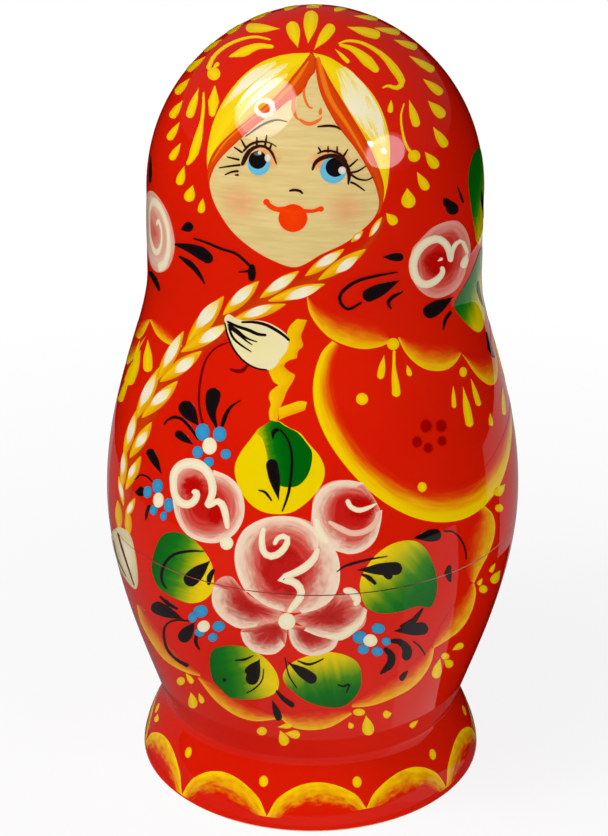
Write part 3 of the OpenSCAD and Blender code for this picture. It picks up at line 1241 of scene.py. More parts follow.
@dataclass
class Braid(Ornament):
    """A fair braid that hangs from under the chin down the side to its tassel."""

    name: str = "braid"
    path: Path = (
        386, 215, 372, 240, 345, 262, 310, 283, 270, 300, 230, 322, 195, 343, 170, 370, 152, 400,
        138, 435, 128, 470, 124, 505, 126, 535,
    )
    widths: Path = (3, 7, 14, 17, 21, 24, 26, 26, 24, 22, 18, 15, 10)
    golden: Rows = (
        (382, 217, 369, 237, 6), (363, 231, 351, 242, 6), (344, 249, 305, 276, 11),
        (299, 271, 260, 298, 12), (259, 281, 223, 315, 14), (224, 296, 186, 347, 16),
        (184, 331, 157, 381, 12), (160, 367, 136, 420, 12), (137, 410, 124, 458, 9),
        (126, 448, 122, 490, 7), (119, 476, 124, 506, 5), (366, 249, 318, 280, 12),
        (325, 284, 268, 301, 12), (286, 304, 232, 320, 12), (229, 324, 181, 352, 14),
        (202, 351, 160, 382, 14), (178, 381, 142, 418, 13), (152, 422, 130, 458, 11),
        (141, 456, 126, 490, 9), (135, 498, 126, 518, 7), (118, 500, 120, 532, 7),
        (128, 510, 129, 537, 7),
    )
    pale: Rows = (
        (380, 220, 371, 236, 3.5), (361, 233, 354, 239.5, 4), (341, 252, 315, 267, 8),
        (296, 274, 266, 292, 9), (254, 284, 230, 306, 9.5), (219, 300, 196, 329, 11),
        (181, 334, 164, 368, 8), (156, 374, 140, 408, 8), (135, 415, 128, 445, 6),
        (124, 452, 123, 476, 4), (119.5, 480, 123.5, 500, 3), (358, 256, 335, 273, 8),
        (321, 286, 284, 299, 9), (273, 305, 243, 317, 8), (226, 326, 199, 343, 10),
        (195, 357, 175, 373, 9.5), (172, 388, 151, 406, 8.5), (148, 431, 136, 448, 7),
        (136, 462, 129, 479, 5), (133, 501, 128, 514, 4),
    )
    pale_swell: float = 1.12
    tassel_lines: Lines = (
        ((118, 532, 122, 546, 129, 568, 135, 586), (1.5, 2, 1.5, 1)),
        ((114, 540, 118, 558, 127, 577), (0.8, 1.2, 0.8)),
    )
    tassel: Path = (
        113, 531, 120, 527, 129, 533, 134, 547, 137.5, 568, 138, 583, 136, 589, 129, 583, 121, 570,
        115, 552, 112, 540,
    )

    def strokes(self) -> list[Stroke]:
        """Gives the braid's ground, its strands and its tassel."""
        brush = Brush()
        brush.line(Paint.BRAID, self.path, *self.widths)
        brush.lenses(Paint.STRAND_GOLD, *self.golden)
        brush.lenses(Paint.STRAND, *((*row[:4], self.pale_swell * row[4]) for row in self.pale))
        brush.patch(Paint.TASSEL, self.tassel)
        brush.lines(Paint.VINE, self.tassel_lines)
        return brush.strokes


@dataclass
class ShoulderFlowers(Ornament):
    """A rose on each shoulder with black sprigs, and leaves on the right one."""

    name: str = "shoulder_flowers"
    right_rose: Path = (
        411, 268, 412, 250, 420, 240, 432, 228, 445, 222, 457, 221, 465, 229, 469, 240, 470, 252,
        466, 268, 462, 280, 455, 290, 445, 296, 435, 298, 424, 294, 415, 284,
    )
    right_middle: Path = (440, 262)
    right_heart: Path = (437, 263, 16, 14)
    right_cream: Lines = (
        (
            (441, 266, 442, 272, 437, 279, 428, 284, 420, 283, 414, 274, 413, 262, 418, 250, 428, 241,
             438, 239, 446, 245, 449, 254, 450, 262),
            (4, 7, 8, 8, 8, 8, 7, 5),
        ),
        ((450, 262, 452, 250, 456, 243, 461, 241, 465, 248, 467, 254), (4, 4.5, 4, 3)),
    )
    right_dabs: Rows = ((467, 252, 462, 268, 7), (437, 261, 442, 258, 3))
    dark_drops: Rows = (
        (181, 230, 193, 225, 10), (400, 280, 363, 298, 13), (382, 257, 403, 257, 8),
        (453, 297, 424, 315, 14), (457, 186, 463, 203, 2), (446, 198, 455, 214, 12),
        (443, 198, 449, 206, 8),
    )
    dark_lines: Lines = (
        ((193, 238, 208, 243, 222, 249, 235, 253, 243, 259, 250, 266), (1.5, 2.5, 2.5, 2.5)),
        ((252, 264, 252, 272, 252, 281), (5, 8, 6)),
        ((239, 272, 249, 271), (1, 2.5)),
        ((175, 244, 190, 248, 203, 254, 212, 262), (2, 8, 13, 9)),
        ((179, 256, 192, 265, 200, 275, 205, 284), (1.5, 6, 4, 1)),
        ((150, 271, 156, 281, 160, 291), (3, 5, 2)),
        ((398, 272, 375, 276, 355, 282, 341, 293, 340, 302, 348, 309, 362, 302), (1, 2.5, 3, 3.5, 3, 2)),
        ((403, 291, 391, 298, 388, 303, 391, 309), (1, 3, 3.5, 2)),
        ((451, 311, 445, 320, 443, 330), (3, 3, 1)),
        ((486, 332, 488, 340, 490, 350, 494, 358), (1, 3, 4, 1.5)),
    )
    left_rose: Path = (-61.5, 149.3, 15.5, 9.6)
    left_cream: Lines = (
        (
            (-59, 151.5, -57, 152.8, -54.6, 151, -54.8, 147.6, -58, 145, -63, 145, -67, 148, -67, 153,
             -62, 156.5, -55.5, 156.4, -50.5, 153, -49.4, 148.2, -52, 143.6, -57.5, 141.2),
            (1.0, 1.6, 1.8, 1.8, 2.2, 2.6, 2.2),
        ),
    )
    left_drop: Path = (-71, 166, -66, 160.5, 3.5)
    upper_tones: Path = (72, 163, 84, 150)
    lower_tones: Path = (66, 141, 75, 127)
    leaf_drops: Rows = ((90, 150, 80, 158, 3), (86, 128, 78, 136, 3))
    upper_leaf: Path = (
        67.8, 163.3, 68.6, 158.6, 71.8, 153.2, 78.4, 145.7, 88, 147, 95, 153, 96, 161, 90, 167, 80, 168.5,
        72, 167,
    )
    lower_leaf: Path = (
        59.3, 134.9, 62.3, 131.3, 73.4, 124.9, 82.8, 125.6, 90, 130, 92, 138, 88, 143, 80.3, 143.5,
        70.1, 139.9,
    )

    def strokes(self) -> list[Stroke]:
        """Gives the roses, leaves and sprigs."""
        brush = Brush()
        brush.patch(Paint.ROSE, self.right_rose, self.right_middle)
        brush.dots(Paint.ROSE_DEEP, self.right_heart)
        brush.lines(Paint.CREAM, self.right_cream)
        brush.dabs(Paint.CREAM, *self.right_dabs)
        brush.dabs(Paint.BLACK, *self.dark_drops)
        brush.lines(Paint.BLACK, self.dark_lines)
        turned = Brush(Space.TURNED)
        turned.dots(Paint.ROSE_PALE, self.left_rose)
        turned.lines(Paint.CREAM, self.left_cream)
        turned.dabs(Paint.BLACK, self.left_drop)
        turned.patch(Paint.LEAF_GREEN, self.upper_leaf, tones=self.upper_tones)
        turned.patch(Paint.LEAF_GREEN, self.lower_leaf, tones=self.lower_tones)
        turned.dabs(Paint.BLACK, *self.leaf_drops)
        return brush.strokes + turned.strokes


@dataclass
class Shawl(Ornament):
    """The shawl's scalloped golden edge all the way round, with drops for a fringe."""

    name: str = "shawl"
    back_start: float = 60.0
    back_end: float = 297.0
    back_scallops: int = 7
    cusp_height: float = 122.6
    dip: float = 11.4
    soft_dip: float = 3.4
    sag_power: float = 0.8
    scallop_points: int = 7
    back_knot: Pair = (1.6, 1.3)
    back_knot_drop: float = 2.0
    back_fringe_drop: float = 5.0
    back_fringe: Rows = ((0, 0, 11, 2.2), (-3, -1.5, 7, 1.6), (3, 1.5, 7, 1.6))
    front: tuple[tuple[Path, Path], ...] = (
        (
            (307, 297, 309, 311, 317, 325, 330, 338, 348, 346, 365, 349, 382, 346, 391, 341),
            (308, 296, 318, 304, 330, 309, 345, 313, 360, 316, 375, 321, 385, 328, 391, 339),
        ),
        (
            (398, 338, 405, 352, 414, 362, 425, 369, 437, 371, 448, 369, 456, 362, 461, 353),
            (400, 336, 408, 338, 420, 340, 435, 341, 449, 342, 457, 345, 461, 352),
        ),
    )
    left: tuple[Path, ...] = ((150, 320, 143, 335, 134, 344), (182, 347, 168, 344, 157, 335, 150, 320))
    left_width: float = 14.0
    knots: Rows = ((393, 344, 6, 6), (463, 372, 3.5, 5))
    fringe: Rows = (
        (384, 355, 380, 379, 7), (407, 365, 410, 376, 5), (453, 386, 454, 408, 4),
        (463, 387, 470, 427, 7.5), (471, 379, 479, 406, 5), (490, 413, 491, 426, 4),
        (502, 385, 504, 415, 4), (148, 340, 148, 372, 9), (141, 350, 128, 385, 10),
        (140, 340, 135, 362, 4), (130, 372, 120, 402, 5),
    )
    long_drop: Lines = (((394, 350, 394, 370, 396, 390, 396, 397), (2.5, 3, 7, 9)),)

    def strokes(self) -> list[Stroke]:
        """Gives the scallops and the fringe."""
        brush = Brush()
        for edge, inner in self.front:
            brush.band(Paint.SCALLOP, edge, inner)
        for edge in self.left:
            brush.rim(Paint.SCALLOP, edge, self.left_width)
        brush.dots(Paint.YELLOW, *self.knots)
        brush.dabs(Paint.YELLOW, *self.fringe)
        brush.lines(Paint.YELLOW, self.long_drop)
        return brush.strokes + self.back()

    def back(self) -> list[Stroke]:
        """Gives the scallops and drops from the right side round the back to the left."""
        turned = Brush(Space.TURNED)
        span = (self.back_end - self.back_start) / self.back_scallops
        shares = np.linspace(0, 1, self.scallop_points)
        sag = np.sin(np.pi * shares) ** self.sag_power
        for index in range(self.back_scallops):
            start = self.back_start + index * span
            angles = start + span * shares
            edge = np.stack([angles, self.cusp_height - self.dip * sag], axis=1)
            inner = np.stack([angles, self.cusp_height - self.soft_dip * sag], axis=1)
            turned.band(Paint.SCALLOP, tuple(edge.ravel()), tuple(inner.ravel()))
            if index:
                low = self.cusp_height - self.back_fringe_drop
                turned.dots(Paint.YELLOW, (start, self.cusp_height - self.back_knot_drop, *self.back_knot))
                for step, lean, length, wide in self.back_fringe:
                    begin = start + step
                    turned.dabs(Paint.YELLOW, (begin, low, begin + lean, low - length, wide))
        return turned.strokes


@dataclass
class Apron(Ornament):
    """The apron: an oval with a golden edge, and the scalloped border round the flowers under it."""

    name: str = "apron"
    oval: Path = (
        332, 341, 322, 352, 315, 372, 313, 392, 316, 412, 326, 437, 341, 460, 360, 482, 384, 502,
        410, 516, 436, 522, 460, 520, 478, 511, 492, 497, 501, 482, 508, 460, 511, 440, 512, 415,
        510, 395,
    )
    oval_inner: Path = (
        341, 346, 336, 362, 335, 385, 339, 402, 347, 421, 361, 443, 380, 462, 403, 477, 426, 485,
        448, 487, 467, 482, 480, 473, 490, 460, 498, 447, 504, 433, 509, 415, 510, 396,
    )
    border: tuple[tuple[Path, float], ...] = (
        ((480, 503, 492, 513, 495, 530, 490, 550, 480, 570, 474, 583), 26),
        ((474, 583, 476, 592, 472, 610, 462, 628, 447, 640, 434, 648), 20),
        ((434, 648, 430, 665, 415, 685, 395, 697, 370, 706, 352, 707), 20),
        ((352, 714, 330, 727, 308, 730, 290, 726, 278, 715), 20),
        ((277, 719, 255, 721, 235, 715, 215, 700, 198, 678), 17),
        ((200, 676, 185, 672, 165, 660, 150, 640, 140, 620, 137, 605), 15),
    )
    drops: Rows = (
        (186, 673, 193, 683, 5), (191, 692, 194, 708, 9), (199, 693, 203, 703, 5),
        (278, 727, 292, 725, 5), (280, 730, 286, 745, 10), (285, 733, 300, 735, 8),
        (366, 715, 369, 735, 12), (349, 722, 352, 728, 6), (392, 713, 383, 715, 8),
        (418, 720, 410, 727, 5), (440, 658, 435, 678, 9), (444, 660, 452, 666, 9),
        (452, 650, 463, 644, 6), (505, 484, 495, 495, 9), (500, 570, 492, 583, 8),
        (482, 578, 478, 585, 4), (495, 563, 490, 572, 4), (158, 714, 156, 722, 4),
    )
    dots: Rows = (
        (362, 399, 6, 6), (422, 487, 4.5, 5), (499, 508, 4, 4), (181, 681, 4, 4), (262, 731, 5, 4),
        (359, 712, 6, 3.5), (445, 656, 4, 3.5), (483, 589, 4, 4),
    )
    stamp: Rows = (
        (426, 426, 7.5, 8), (441, 426, 7, 8), (417, 442, 6.5, 7), (442, 441, 6, 6.5), (428, 448, 6, 6.5),
    )

    def strokes(self) -> list[Stroke]:
        """Gives the oval, its dots, the border and its drops."""
        brush = Brush()
        brush.band(Paint.CRESCENT, self.oval, self.oval_inner)
        for edge, wide in self.border:
            brush.rim(Paint.BORDER, edge, wide)
        brush.dots(Paint.STAMP, *self.stamp)
        brush.dots(Paint.YELLOW, *self.dots)
        brush.dabs(Paint.YELLOW, *self.drops)
        return brush.strokes


@dataclass
class FootBorder(Ornament):
    """Golden arches round the foot with a dot between each two, each a little different."""

    name: str = "foot_border"
    first: float = -7.9
    lows: Path = (3.4, 5.0, 2.0, 2.6, 2.3, 2.6, 2.4, 2.7, 2.3, 2.2, 1.1)
    tops: Path = (12.3, 11.5, 10.5, 10.8, 10.4, 11.0, 10.6, 10.8, 10.5, 10.3, 11.3)
    thick: float = 5.6
    inset_share: float = 0.14
    dot_height: float = 11.6
    dot_step: float = -2.3
    dot_radii: Pair = (1.6, 1.3)
    arch_points: int = 13
    round_power: float = 0.55
    soft_power: float = 0.8

    def strokes(self) -> list[Stroke]:
        """Gives the arches and dots."""
        brush = Brush(Space.TURNED)
        span = 360 / len(self.lows)
        shares = np.linspace(0, 1, self.arch_points)
        inside = self.inset_share + (1 - 2 * self.inset_share) * shares
        arch = np.sin(np.pi * shares)
        for index, (low, top) in enumerate(zip(self.lows, self.tops)):
            start = self.first + index * span
            ground = low + (self.lows[(index + 1) % len(self.lows)] - low) * shares
            rise = ground + (top - ground) * arch**self.round_power
            soft_rise = ground + (top - self.thick - ground) * arch**self.soft_power
            edge = np.stack([start + span * shares, rise], axis=1)
            inner = np.stack([start + span * inside, soft_rise], axis=1)
            brush.band(Paint.FOOT_ARCH, tuple(edge.ravel()), tuple(inner.ravel()))
            brush.dots(Paint.YELLOW, (start + self.dot_step, self.dot_height, *self.dot_radii))
        return brush.strokes


@dataclass
class Bow(Ornament):
    """A cream petal beside the braid, with a yellow ribbon that winds down from it."""

    name: str = "bow"
    petal: Path = (
        225, 322, 225, 317, 229, 314, 234, 317, 242, 320, 262, 321, 277, 327, 288, 337, 287, 350,
        281, 358, 275, 367, 268, 370, 257, 369, 247, 364, 238, 355, 231, 344, 227, 332,
    )
    ribbon: tuple[tuple[Path, Path], ...] = (
        (
            (297, 319, 290, 326, 287, 333, 288, 344, 285, 352, 279, 359),
            (307, 320, 304, 328, 301, 336, 303, 346, 298, 351, 297, 358),
        ),
        (
            (279, 359, 275, 366, 269, 369, 270, 374, 274, 382, 279, 385),
            (297, 358, 288, 361, 284, 366, 290, 372, 295, 375, 292, 383),
        ),
        (
            (279, 385, 271, 391, 269, 397, 271, 405, 269, 411, 270, 420),
            (292, 383, 287, 391, 284, 399, 281, 406, 279, 414, 277, 422),
        ),
        ((279, 408, 290, 404, 300, 401, 307, 402), (279, 420, 288, 416, 297, 413, 305, 410)),
    )
    lines: Lines = (
        ((241, 322, 255, 322, 267, 325, 278, 331, 285, 336, 290, 341), (2, 3, 3.2, 2.5)),
        ((225, 322, 228, 335, 234, 349, 244, 361, 256, 368, 268, 370), (1.5, 2, 2, 1.5)),
        ((227, 321, 237, 326, 249, 330, 258, 334, 267, 335), (2, 3, 3.5, 2.5)),
        ((228, 324, 238, 331, 247, 338, 258, 342), (3, 3, 2, 1)),
        ((229, 326, 239, 334, 247, 341, 253, 345), (3.5, 3, 2, 1)),
        ((229, 326, 233, 337, 240, 344, 252, 352), (2.5, 2.5, 2, 1)),
    )
    vines: Lines = (
        ((230, 369, 236, 371, 242, 371, 248, 365), (2, 3.5, 4, 2)),
        ((229, 342, 216, 348, 206, 360, 201, 378, 199, 400, 201, 416, 204, 428), (1.5, 2, 2)),
    )

    def strokes(self) -> list[Stroke]:
        """Gives the petal, its lines, the ribbon and the vine."""
        brush = Brush()
        for edge, inner in self.ribbon:
            brush.band(Paint.RIBBON, edge, inner)
        brush.patch(Paint.BUD_CREAM, self.petal)
        brush.lines(Paint.BLACK, self.lines)
        brush.lines(Paint.VINE, self.vines)
        return brush.strokes


@dataclass
class Leaf:
    """A leaf that turns from green to yellow between two points, with black veins."""

    edge: Path
    tones: Path
    veins: Lines
    dark: Rows
    green: Path | None = None

    def paint(self, brush: Brush) -> None:
        """Lays the leaf on, all over or as a green part on a yellow leaf.

        Args:
            brush: The brush that takes its strokes.
        """
        if self.green:
            brush.patch(Paint.LEAF, self.edge)
        brush.patch(Paint.LEAF_GREEN, self.green or self.edge, tones=self.tones)
        brush.lines(Paint.BLACK, self.veins)
        brush.dabs(Paint.BLACK, *self.dark)


@dataclass
class Leaves(Ornament):
    """The five leaves of the bouquet."""

    name: str = "leaves"
    top: Leaf = field(default_factory=lambda: Leaf(
        (235, 466, 241, 452, 250, 440, 258, 430, 266, 424, 276, 420, 288, 427, 300, 433, 309, 444,
         318, 454, 324, 466, 324, 478, 318, 490, 306, 503, 292, 512, 275, 514, 259, 510, 246, 499,
         237, 482),
        (284, 455, 256, 458),
        (
            ((282, 512, 288, 495, 291, 478, 292, 460, 290, 445, 285, 435, 279, 429), (1.5, 3, 3, 2.5, 2)),
            ((279, 429, 274, 432, 273, 439), (4, 5, 1)),
            ((258, 490, 265, 492, 270, 498, 272, 501), (1, 2.5, 2.5, 1.5)),
        ),
        ((279, 501, 271, 459, 12),),
        (256, 432, 266, 424, 275, 420, 285, 426, 298, 433, 308, 445, 312, 452, 311, 466, 306, 478,
         297, 486, 286, 487, 278, 484, 270, 470, 266, 450, 262, 438),
    ))
    left: Leaf = field(default_factory=lambda: Leaf(
        (152, 570, 153, 558, 157, 545, 163, 535, 172, 532, 183, 534, 195, 541, 205, 552, 212, 565,
         214, 580, 212, 592, 204, 600, 192, 603, 180, 600, 168, 594, 158, 586),
        (155, 565, 204, 579),
        (
            ((205, 551, 190, 551, 175, 554, 166, 562, 162, 573, 163, 583, 168, 589), (1, 2.5, 3, 3, 3, 1)),
            ((214, 569, 210, 577, 209, 585), (3, 6, 3)),
        ),
        ((211, 560, 186, 584, 15),),
    ))
    lower_left: Leaf = field(default_factory=lambda: Leaf(
        (210, 660, 213, 650, 225, 646, 240, 646, 252, 650, 265, 658, 275, 670, 279, 682, 276, 692,
         262, 698, 245, 699, 230, 697, 222, 690, 213, 680),
        (212, 681, 270, 670),
        (
            ((235, 660, 245, 659, 254, 655), (1, 2.5, 1)),
            ((264, 668, 262, 680, 255, 688, 246, 693), (1, 1.5, 1.5, 1)),
        ),
        ((260, 658, 250, 684, 13), (258, 660, 246, 673, 7), (223, 678, 226, 681, 4)),
    ))
    lower_right: Leaf = field(default_factory=lambda: Leaf(
        (283, 675, 288, 666, 297, 660, 312, 655, 328, 652, 345, 655, 357, 662, 361, 672, 360, 688,
         352, 700, 340, 707, 322, 706, 305, 700, 292, 690, 285, 683),
        (326, 710, 315, 656),
        (
            ((297, 660, 308, 664, 316, 662, 324, 658), (1, 2.5, 2, 1)),
            ((285, 657, 289, 675, 297, 688), (1, 1.5, 1)),
            ((337, 684, 343, 686, 349, 684, 346, 693), (1, 2, 2, 1)),
        ),
        ((288, 662, 316, 681, 11),),
    ))
    right: Leaf = field(default_factory=lambda: Leaf(
        (360, 590, 361, 578, 366, 568, 375, 556, 388, 546, 402, 541, 415, 541, 424, 547, 430, 557,
         435, 570, 437, 585, 435, 598, 430, 607, 418, 606, 405, 610, 390, 613, 375, 612, 365, 605),
        (428, 606, 380, 556),
        (
            ((336, 572, 345, 566, 358, 562, 375, 558, 388, 556), (1, 2.5, 2, 1)),
            ((361, 574, 368, 577, 376, 584), (2, 5, 3)),
        ),
        ((357, 570, 402, 568, 13), (380, 571, 392, 577, 8)),
    ))

    def strokes(self) -> list[Stroke]:
        """Gives the five leaves."""
        brush = Brush()
        for leaf in (self.top, self.left, self.lower_left, self.lower_right, self.right):
            leaf.paint(brush)
        return brush.strokes


@dataclass
class Bouquet(Ornament):
    """A large rose with two buds, in pink washes with pale rims, and cream strokes."""

    name: str = "bouquet"
    rose: Path = (
        235, 560, 237, 545, 244, 530, 255, 522, 270, 517, 285, 516, 300, 518, 312, 523, 320, 530,
        333, 548, 338, 560, 340, 575, 337, 590, 330, 600, 318, 608, 300, 612, 285, 612, 270, 607,
        255, 598, 245, 588, 238, 575,
    )
    petals: tuple[tuple[Path, Path], ...] = (
        (
            (212, 600, 214, 585, 222, 577, 232, 577, 243, 590, 260, 602, 278, 610, 286, 618, 270, 622,
             250, 628, 235, 626, 222, 618, 214, 608),
            (250, 606),
        ),
        (
            (286, 622, 270, 622, 250, 628, 241, 630, 243, 640, 250, 648, 262, 653, 275, 653, 284, 646,
             287, 635),
            (276, 628),
        ),
        (
            (289, 626, 290, 640, 297, 650, 308, 655, 322, 653, 334, 648, 338, 640, 330, 630, 315, 628,
             300, 626),
            (308, 634),
        ),
        (
            (292, 618, 305, 612, 320, 605, 332, 596, 345, 594, 358, 602, 366, 615, 364, 625, 355, 632,
             340, 638, 325, 632, 308, 628),
            (325, 616),
        ),
    )
    left_bud: Path = (
        173, 495, 175, 512, 180, 525, 188, 535, 200, 541, 214, 543, 228, 539, 238, 530, 244, 515,
        244, 500, 238, 485, 228, 476, 215, 471, 205, 468, 190, 465, 178, 472,
    )
    right_bud: Path = (
        312, 510, 313, 500, 318, 490, 328, 483, 340, 480, 355, 482, 365, 486, 381, 512, 380, 525,
        375, 540, 365, 550, 350, 554, 335, 550, 322, 545, 312, 535, 311, 520,
    )
    rose_middle: Path = (280, 568)
    left_bud_middle: Path = (204, 505)
    right_bud_middle: Path = (356, 509)
    rim_reach: float = 1.5
    bud_lines: Lines = (
        ((328, 521, 340, 528, 352, 533, 365, 531, 375, 523, 379, 511), (3, 6, 6, 6, 6, 4)),
    )
    cream_dots: Rows = ((287, 621, 8.5, 8), (227, 543, 6.5, 6.5))
    rims: tuple[tuple[Path, Path], ...] = (
        (
            (246, 592, 239, 578, 235, 562, 236, 546, 243, 531, 255, 522, 270, 517, 286, 516, 301, 519,
             312, 526, 319, 536, 322, 549),
            (262, 590, 258, 576, 254, 562, 255, 550, 260, 540, 270, 533, 283, 530, 295, 531, 303, 536,
             307, 543, 310, 550),
        ),
        (
            (319, 530, 330, 542, 338, 556, 340, 572, 338, 588, 330, 601, 317, 609, 302, 613),
            (318, 552, 317, 560, 315, 570, 313, 580, 309, 589, 304, 597, 299, 603, 296, 606),
        ),
        ((284, 611, 268, 606, 254, 597, 245, 588), (286, 604, 272, 599, 260, 592, 252, 584)),
        (
            (214, 470, 228, 476, 238, 485, 244, 500, 244, 516, 238, 530, 228, 539, 214, 543, 200, 541,
             188, 535, 180, 525, 175, 512, 173, 497),
            (212, 480, 224, 484, 231, 492, 235, 502, 235, 513, 230, 524, 222, 531, 211, 534, 200, 532,
             191, 527, 185, 519, 182, 509, 181, 498),
        ),
        (
            (364, 483, 346, 480, 329, 484, 317, 494, 312, 510, 314, 526, 324, 542, 337, 551),
            (352, 489, 342, 491, 333, 497, 328, 506, 327, 516, 331, 525, 338, 533, 346, 539),
        ),
        (
            (337, 551, 350, 554, 364, 550, 375, 540, 380, 525, 382, 510),
            (342, 541, 352, 544, 361, 541, 369, 533, 373, 522, 375, 512),
        ),
        (
            (214, 586, 212, 598, 216, 610, 226, 621, 240, 628, 256, 626),
            (230, 590, 230, 600, 234, 608, 242, 614, 252, 618, 262, 619),
        ),
        (
            (241, 632, 244, 642, 252, 650, 264, 654, 276, 653, 285, 645),
            (252, 632, 255, 639, 261, 643, 267, 644, 274, 643, 280, 637),
        ),
        (
            (289, 628, 291, 641, 298, 650, 309, 655, 322, 654, 334, 648, 338, 640),
            (297, 630, 299, 638, 305, 644, 312, 646, 321, 645, 328, 641, 331, 637),
        ),
        (
            (304, 630, 322, 637, 340, 637, 354, 630, 363, 620, 367, 610),
            (308, 625, 324, 627, 338, 626, 350, 620, 358, 612, 363, 606),
        ),
    )
    hearts: Rows = (
        (285, 574, 26, 26), (193, 486, 14, 13), (216, 514, 11, 14), (362, 507, 16, 16),
    )
    cream: Lines = (
        ((325, 636, 340, 636, 352, 629, 361, 621, 366, 611), (3, 8, 8, 5, 2)),
        ((343, 590, 352, 592, 357, 600, 354, 605), (4, 8, 9, 4)),
        (
            (264, 527, 262, 540, 264, 552, 270, 556, 278, 554, 285, 547, 288, 539, 284, 536, 278, 538,
             274, 545),
            (4, 6, 6.5, 6.5, 7, 7, 6.5, 6, 5, 4),
        ),
        (
            (318, 548, 314, 558, 305, 567, 294, 573, 283, 577, 281, 580, 288, 580, 296, 583, 301, 590,
             300, 597, 294, 605, 288, 612),
            (5, 7, 8, 8, 7, 6, 7, 8, 8, 7.5, 7, 4),
        ),
        (
            (192, 492, 197, 492, 196, 499, 190, 504, 182, 503, 176, 496, 174, 485, 175, 473, 182, 465,
             192, 463, 203, 467, 210, 476, 213, 487, 212, 496, 206, 506),
            (5, 7, 8, 8, 7, 7, 8, 9, 10, 10, 9, 8, 8, 7, 4),
        ),
        ((206, 506, 212, 504, 218, 501, 223, 505, 226, 515, 228, 529), (6, 6, 7, 7, 6, 4)),
        ((316, 518, 319, 532, 328, 543), (5, 11, 6)),
        ((347, 499, 350, 506, 358, 510, 367, 508, 377, 503), (5, 5, 5, 4, 1)),
    )

    def strokes(self) -> list[Stroke]:
        """Gives the buds, the petals and the rose."""
        brush = Brush()
        for edge, heart in self.petals:
            brush.patch(Paint.PETAL, edge, heart)
        brush.patch(Paint.ROSE, self.rose, self.rose_middle)
        brush.patch(Paint.ROSE, self.left_bud, self.left_bud_middle)
        brush.patch(Paint.ROSE, self.right_bud, self.right_bud_middle)
        brush.dots(Paint.ROSE_DEEP, *self.hearts)
        for edge, inner in self.rims:
            brush.band(Paint.PETAL_RIM, edge, inner, self.rim_reach)
        brush.lines(Paint.PETAL_PINK, self.bud_lines)
        brush.lines(Paint.CREAM, self.cream)
        brush.dots(Paint.CREAM_DOT, *self.cream_dots)
        return brush.strokes


@dataclass
class Sprigs(Ornament):
    """Small blue flowers among black sprigs, round the roses."""

    name: str = "sprigs"
    centres: Rows = ((210, 446, 7, 8.5), (159, 500, 5, 7.5), (204, 626, 6, 5.5), (370, 640, 7, 6))
    petals: Rows = (
        (203, 432, 7, 8.5), (220, 434, 6.5, 7.5), (198, 452, 5, 6), (226, 454, 5, 5), (209, 462, 5, 5),
        (158, 486, 5, 7), (148, 492, 4, 6), (169, 505, 4.5, 7), (154, 510, 3.5, 5), (164, 516, 3, 4.5),
        (201, 611, 7, 6), (193, 617, 4, 5), (219, 626, 6, 5), (200, 632, 5, 4), (213, 637, 4.5, 4),
        (378, 628, 6.5, 5), (360, 637, 7.5, 6), (363, 649, 5.5, 4.5), (386, 641, 4.5, 4),
        (377, 651, 5.5, 4.5),
    )
    dark_drops: Rows = (
        (199, 426, 182, 402, 15), (194, 445, 176, 432, 8), (162, 474, 149, 449, 8),
        (183, 619, 152, 605, 12), (195, 622, 181, 641, 13), (394, 631, 428, 628, 12),
        (408, 670, 400, 680, 5), (272, 700, 280, 720, 7), (413, 538, 441, 534, 12),
        (141, 486, 142, 496, 12),
    )
    dark_lines: Lines = (
        ((217, 428, 212, 412, 213, 398, 215, 388), (1.5, 7, 14, 15)),
        ((222, 427, 226, 415, 231, 407, 238, 402, 241, 400), (3, 4.5, 3.5, 2, 1)),
        ((199, 440, 190, 427, 182, 419, 175, 417, 168, 420, 164, 425), (2, 3, 3, 3, 1)),
        ((135, 480, 141, 475, 148, 477, 153, 482), (1, 1.5, 1.5, 1)),
        ((150, 505, 147, 513, 146, 520), (3, 3, 1)),
        ((190, 621, 175, 620, 166, 625, 164, 635, 168, 650, 178, 660, 189, 666), (1, 2, 2, 2, 3.5)),
        ((160, 596, 168, 603, 178, 609), (1.5, 3.5, 2)),
        ((197, 634, 196, 642, 200, 650), (3, 3, 1)),
        ((384, 648, 391, 655, 390, 664, 380, 674), (4, 8, 7, 1)),
        ((390, 641, 400, 642, 407, 650, 405, 660), (3, 6, 10, 8)),
        ((400, 627, 412, 622, 418, 615, 423, 608), (3, 6, 4, 1)),
        ((413, 641, 420, 647, 425, 655), (1, 2, 1)),
        ((276, 690, 284, 699, 294, 706), (2, 4, 5)),
        ((443, 531, 453, 532, 461, 540, 465, 550, 466, 560), (1.5, 1.5, 1.5, 1)),
        ((450, 565, 448, 573, 450, 582), (2, 7, 2)),
    )

    def strokes(self) -> list[Stroke]:
        """Gives the sprigs and the flowers."""
        brush = Brush()
        brush.dabs(Paint.BLACK, *self.dark_drops)
        brush.lines(Paint.BLACK, self.dark_lines)
        brush.dots(Paint.BLUE, *self.petals)
        brush.dots(Paint.CREAM_DOT, *self.centres)
        return brush.strokes


class Half(Enum):
    """The two halves of a doll that opens, and the doll that is one piece."""

    BOTTOM = "bottom"
    TOP = "top"
    WHOLE = "whole"


class Finish(IntEnum):
    """The finishes of a turned body, by their number among its materials."""

    SKIN = 0
    WOOD = 1
    UPPER_EDGE = 2
    LOWER_EDGE = 3


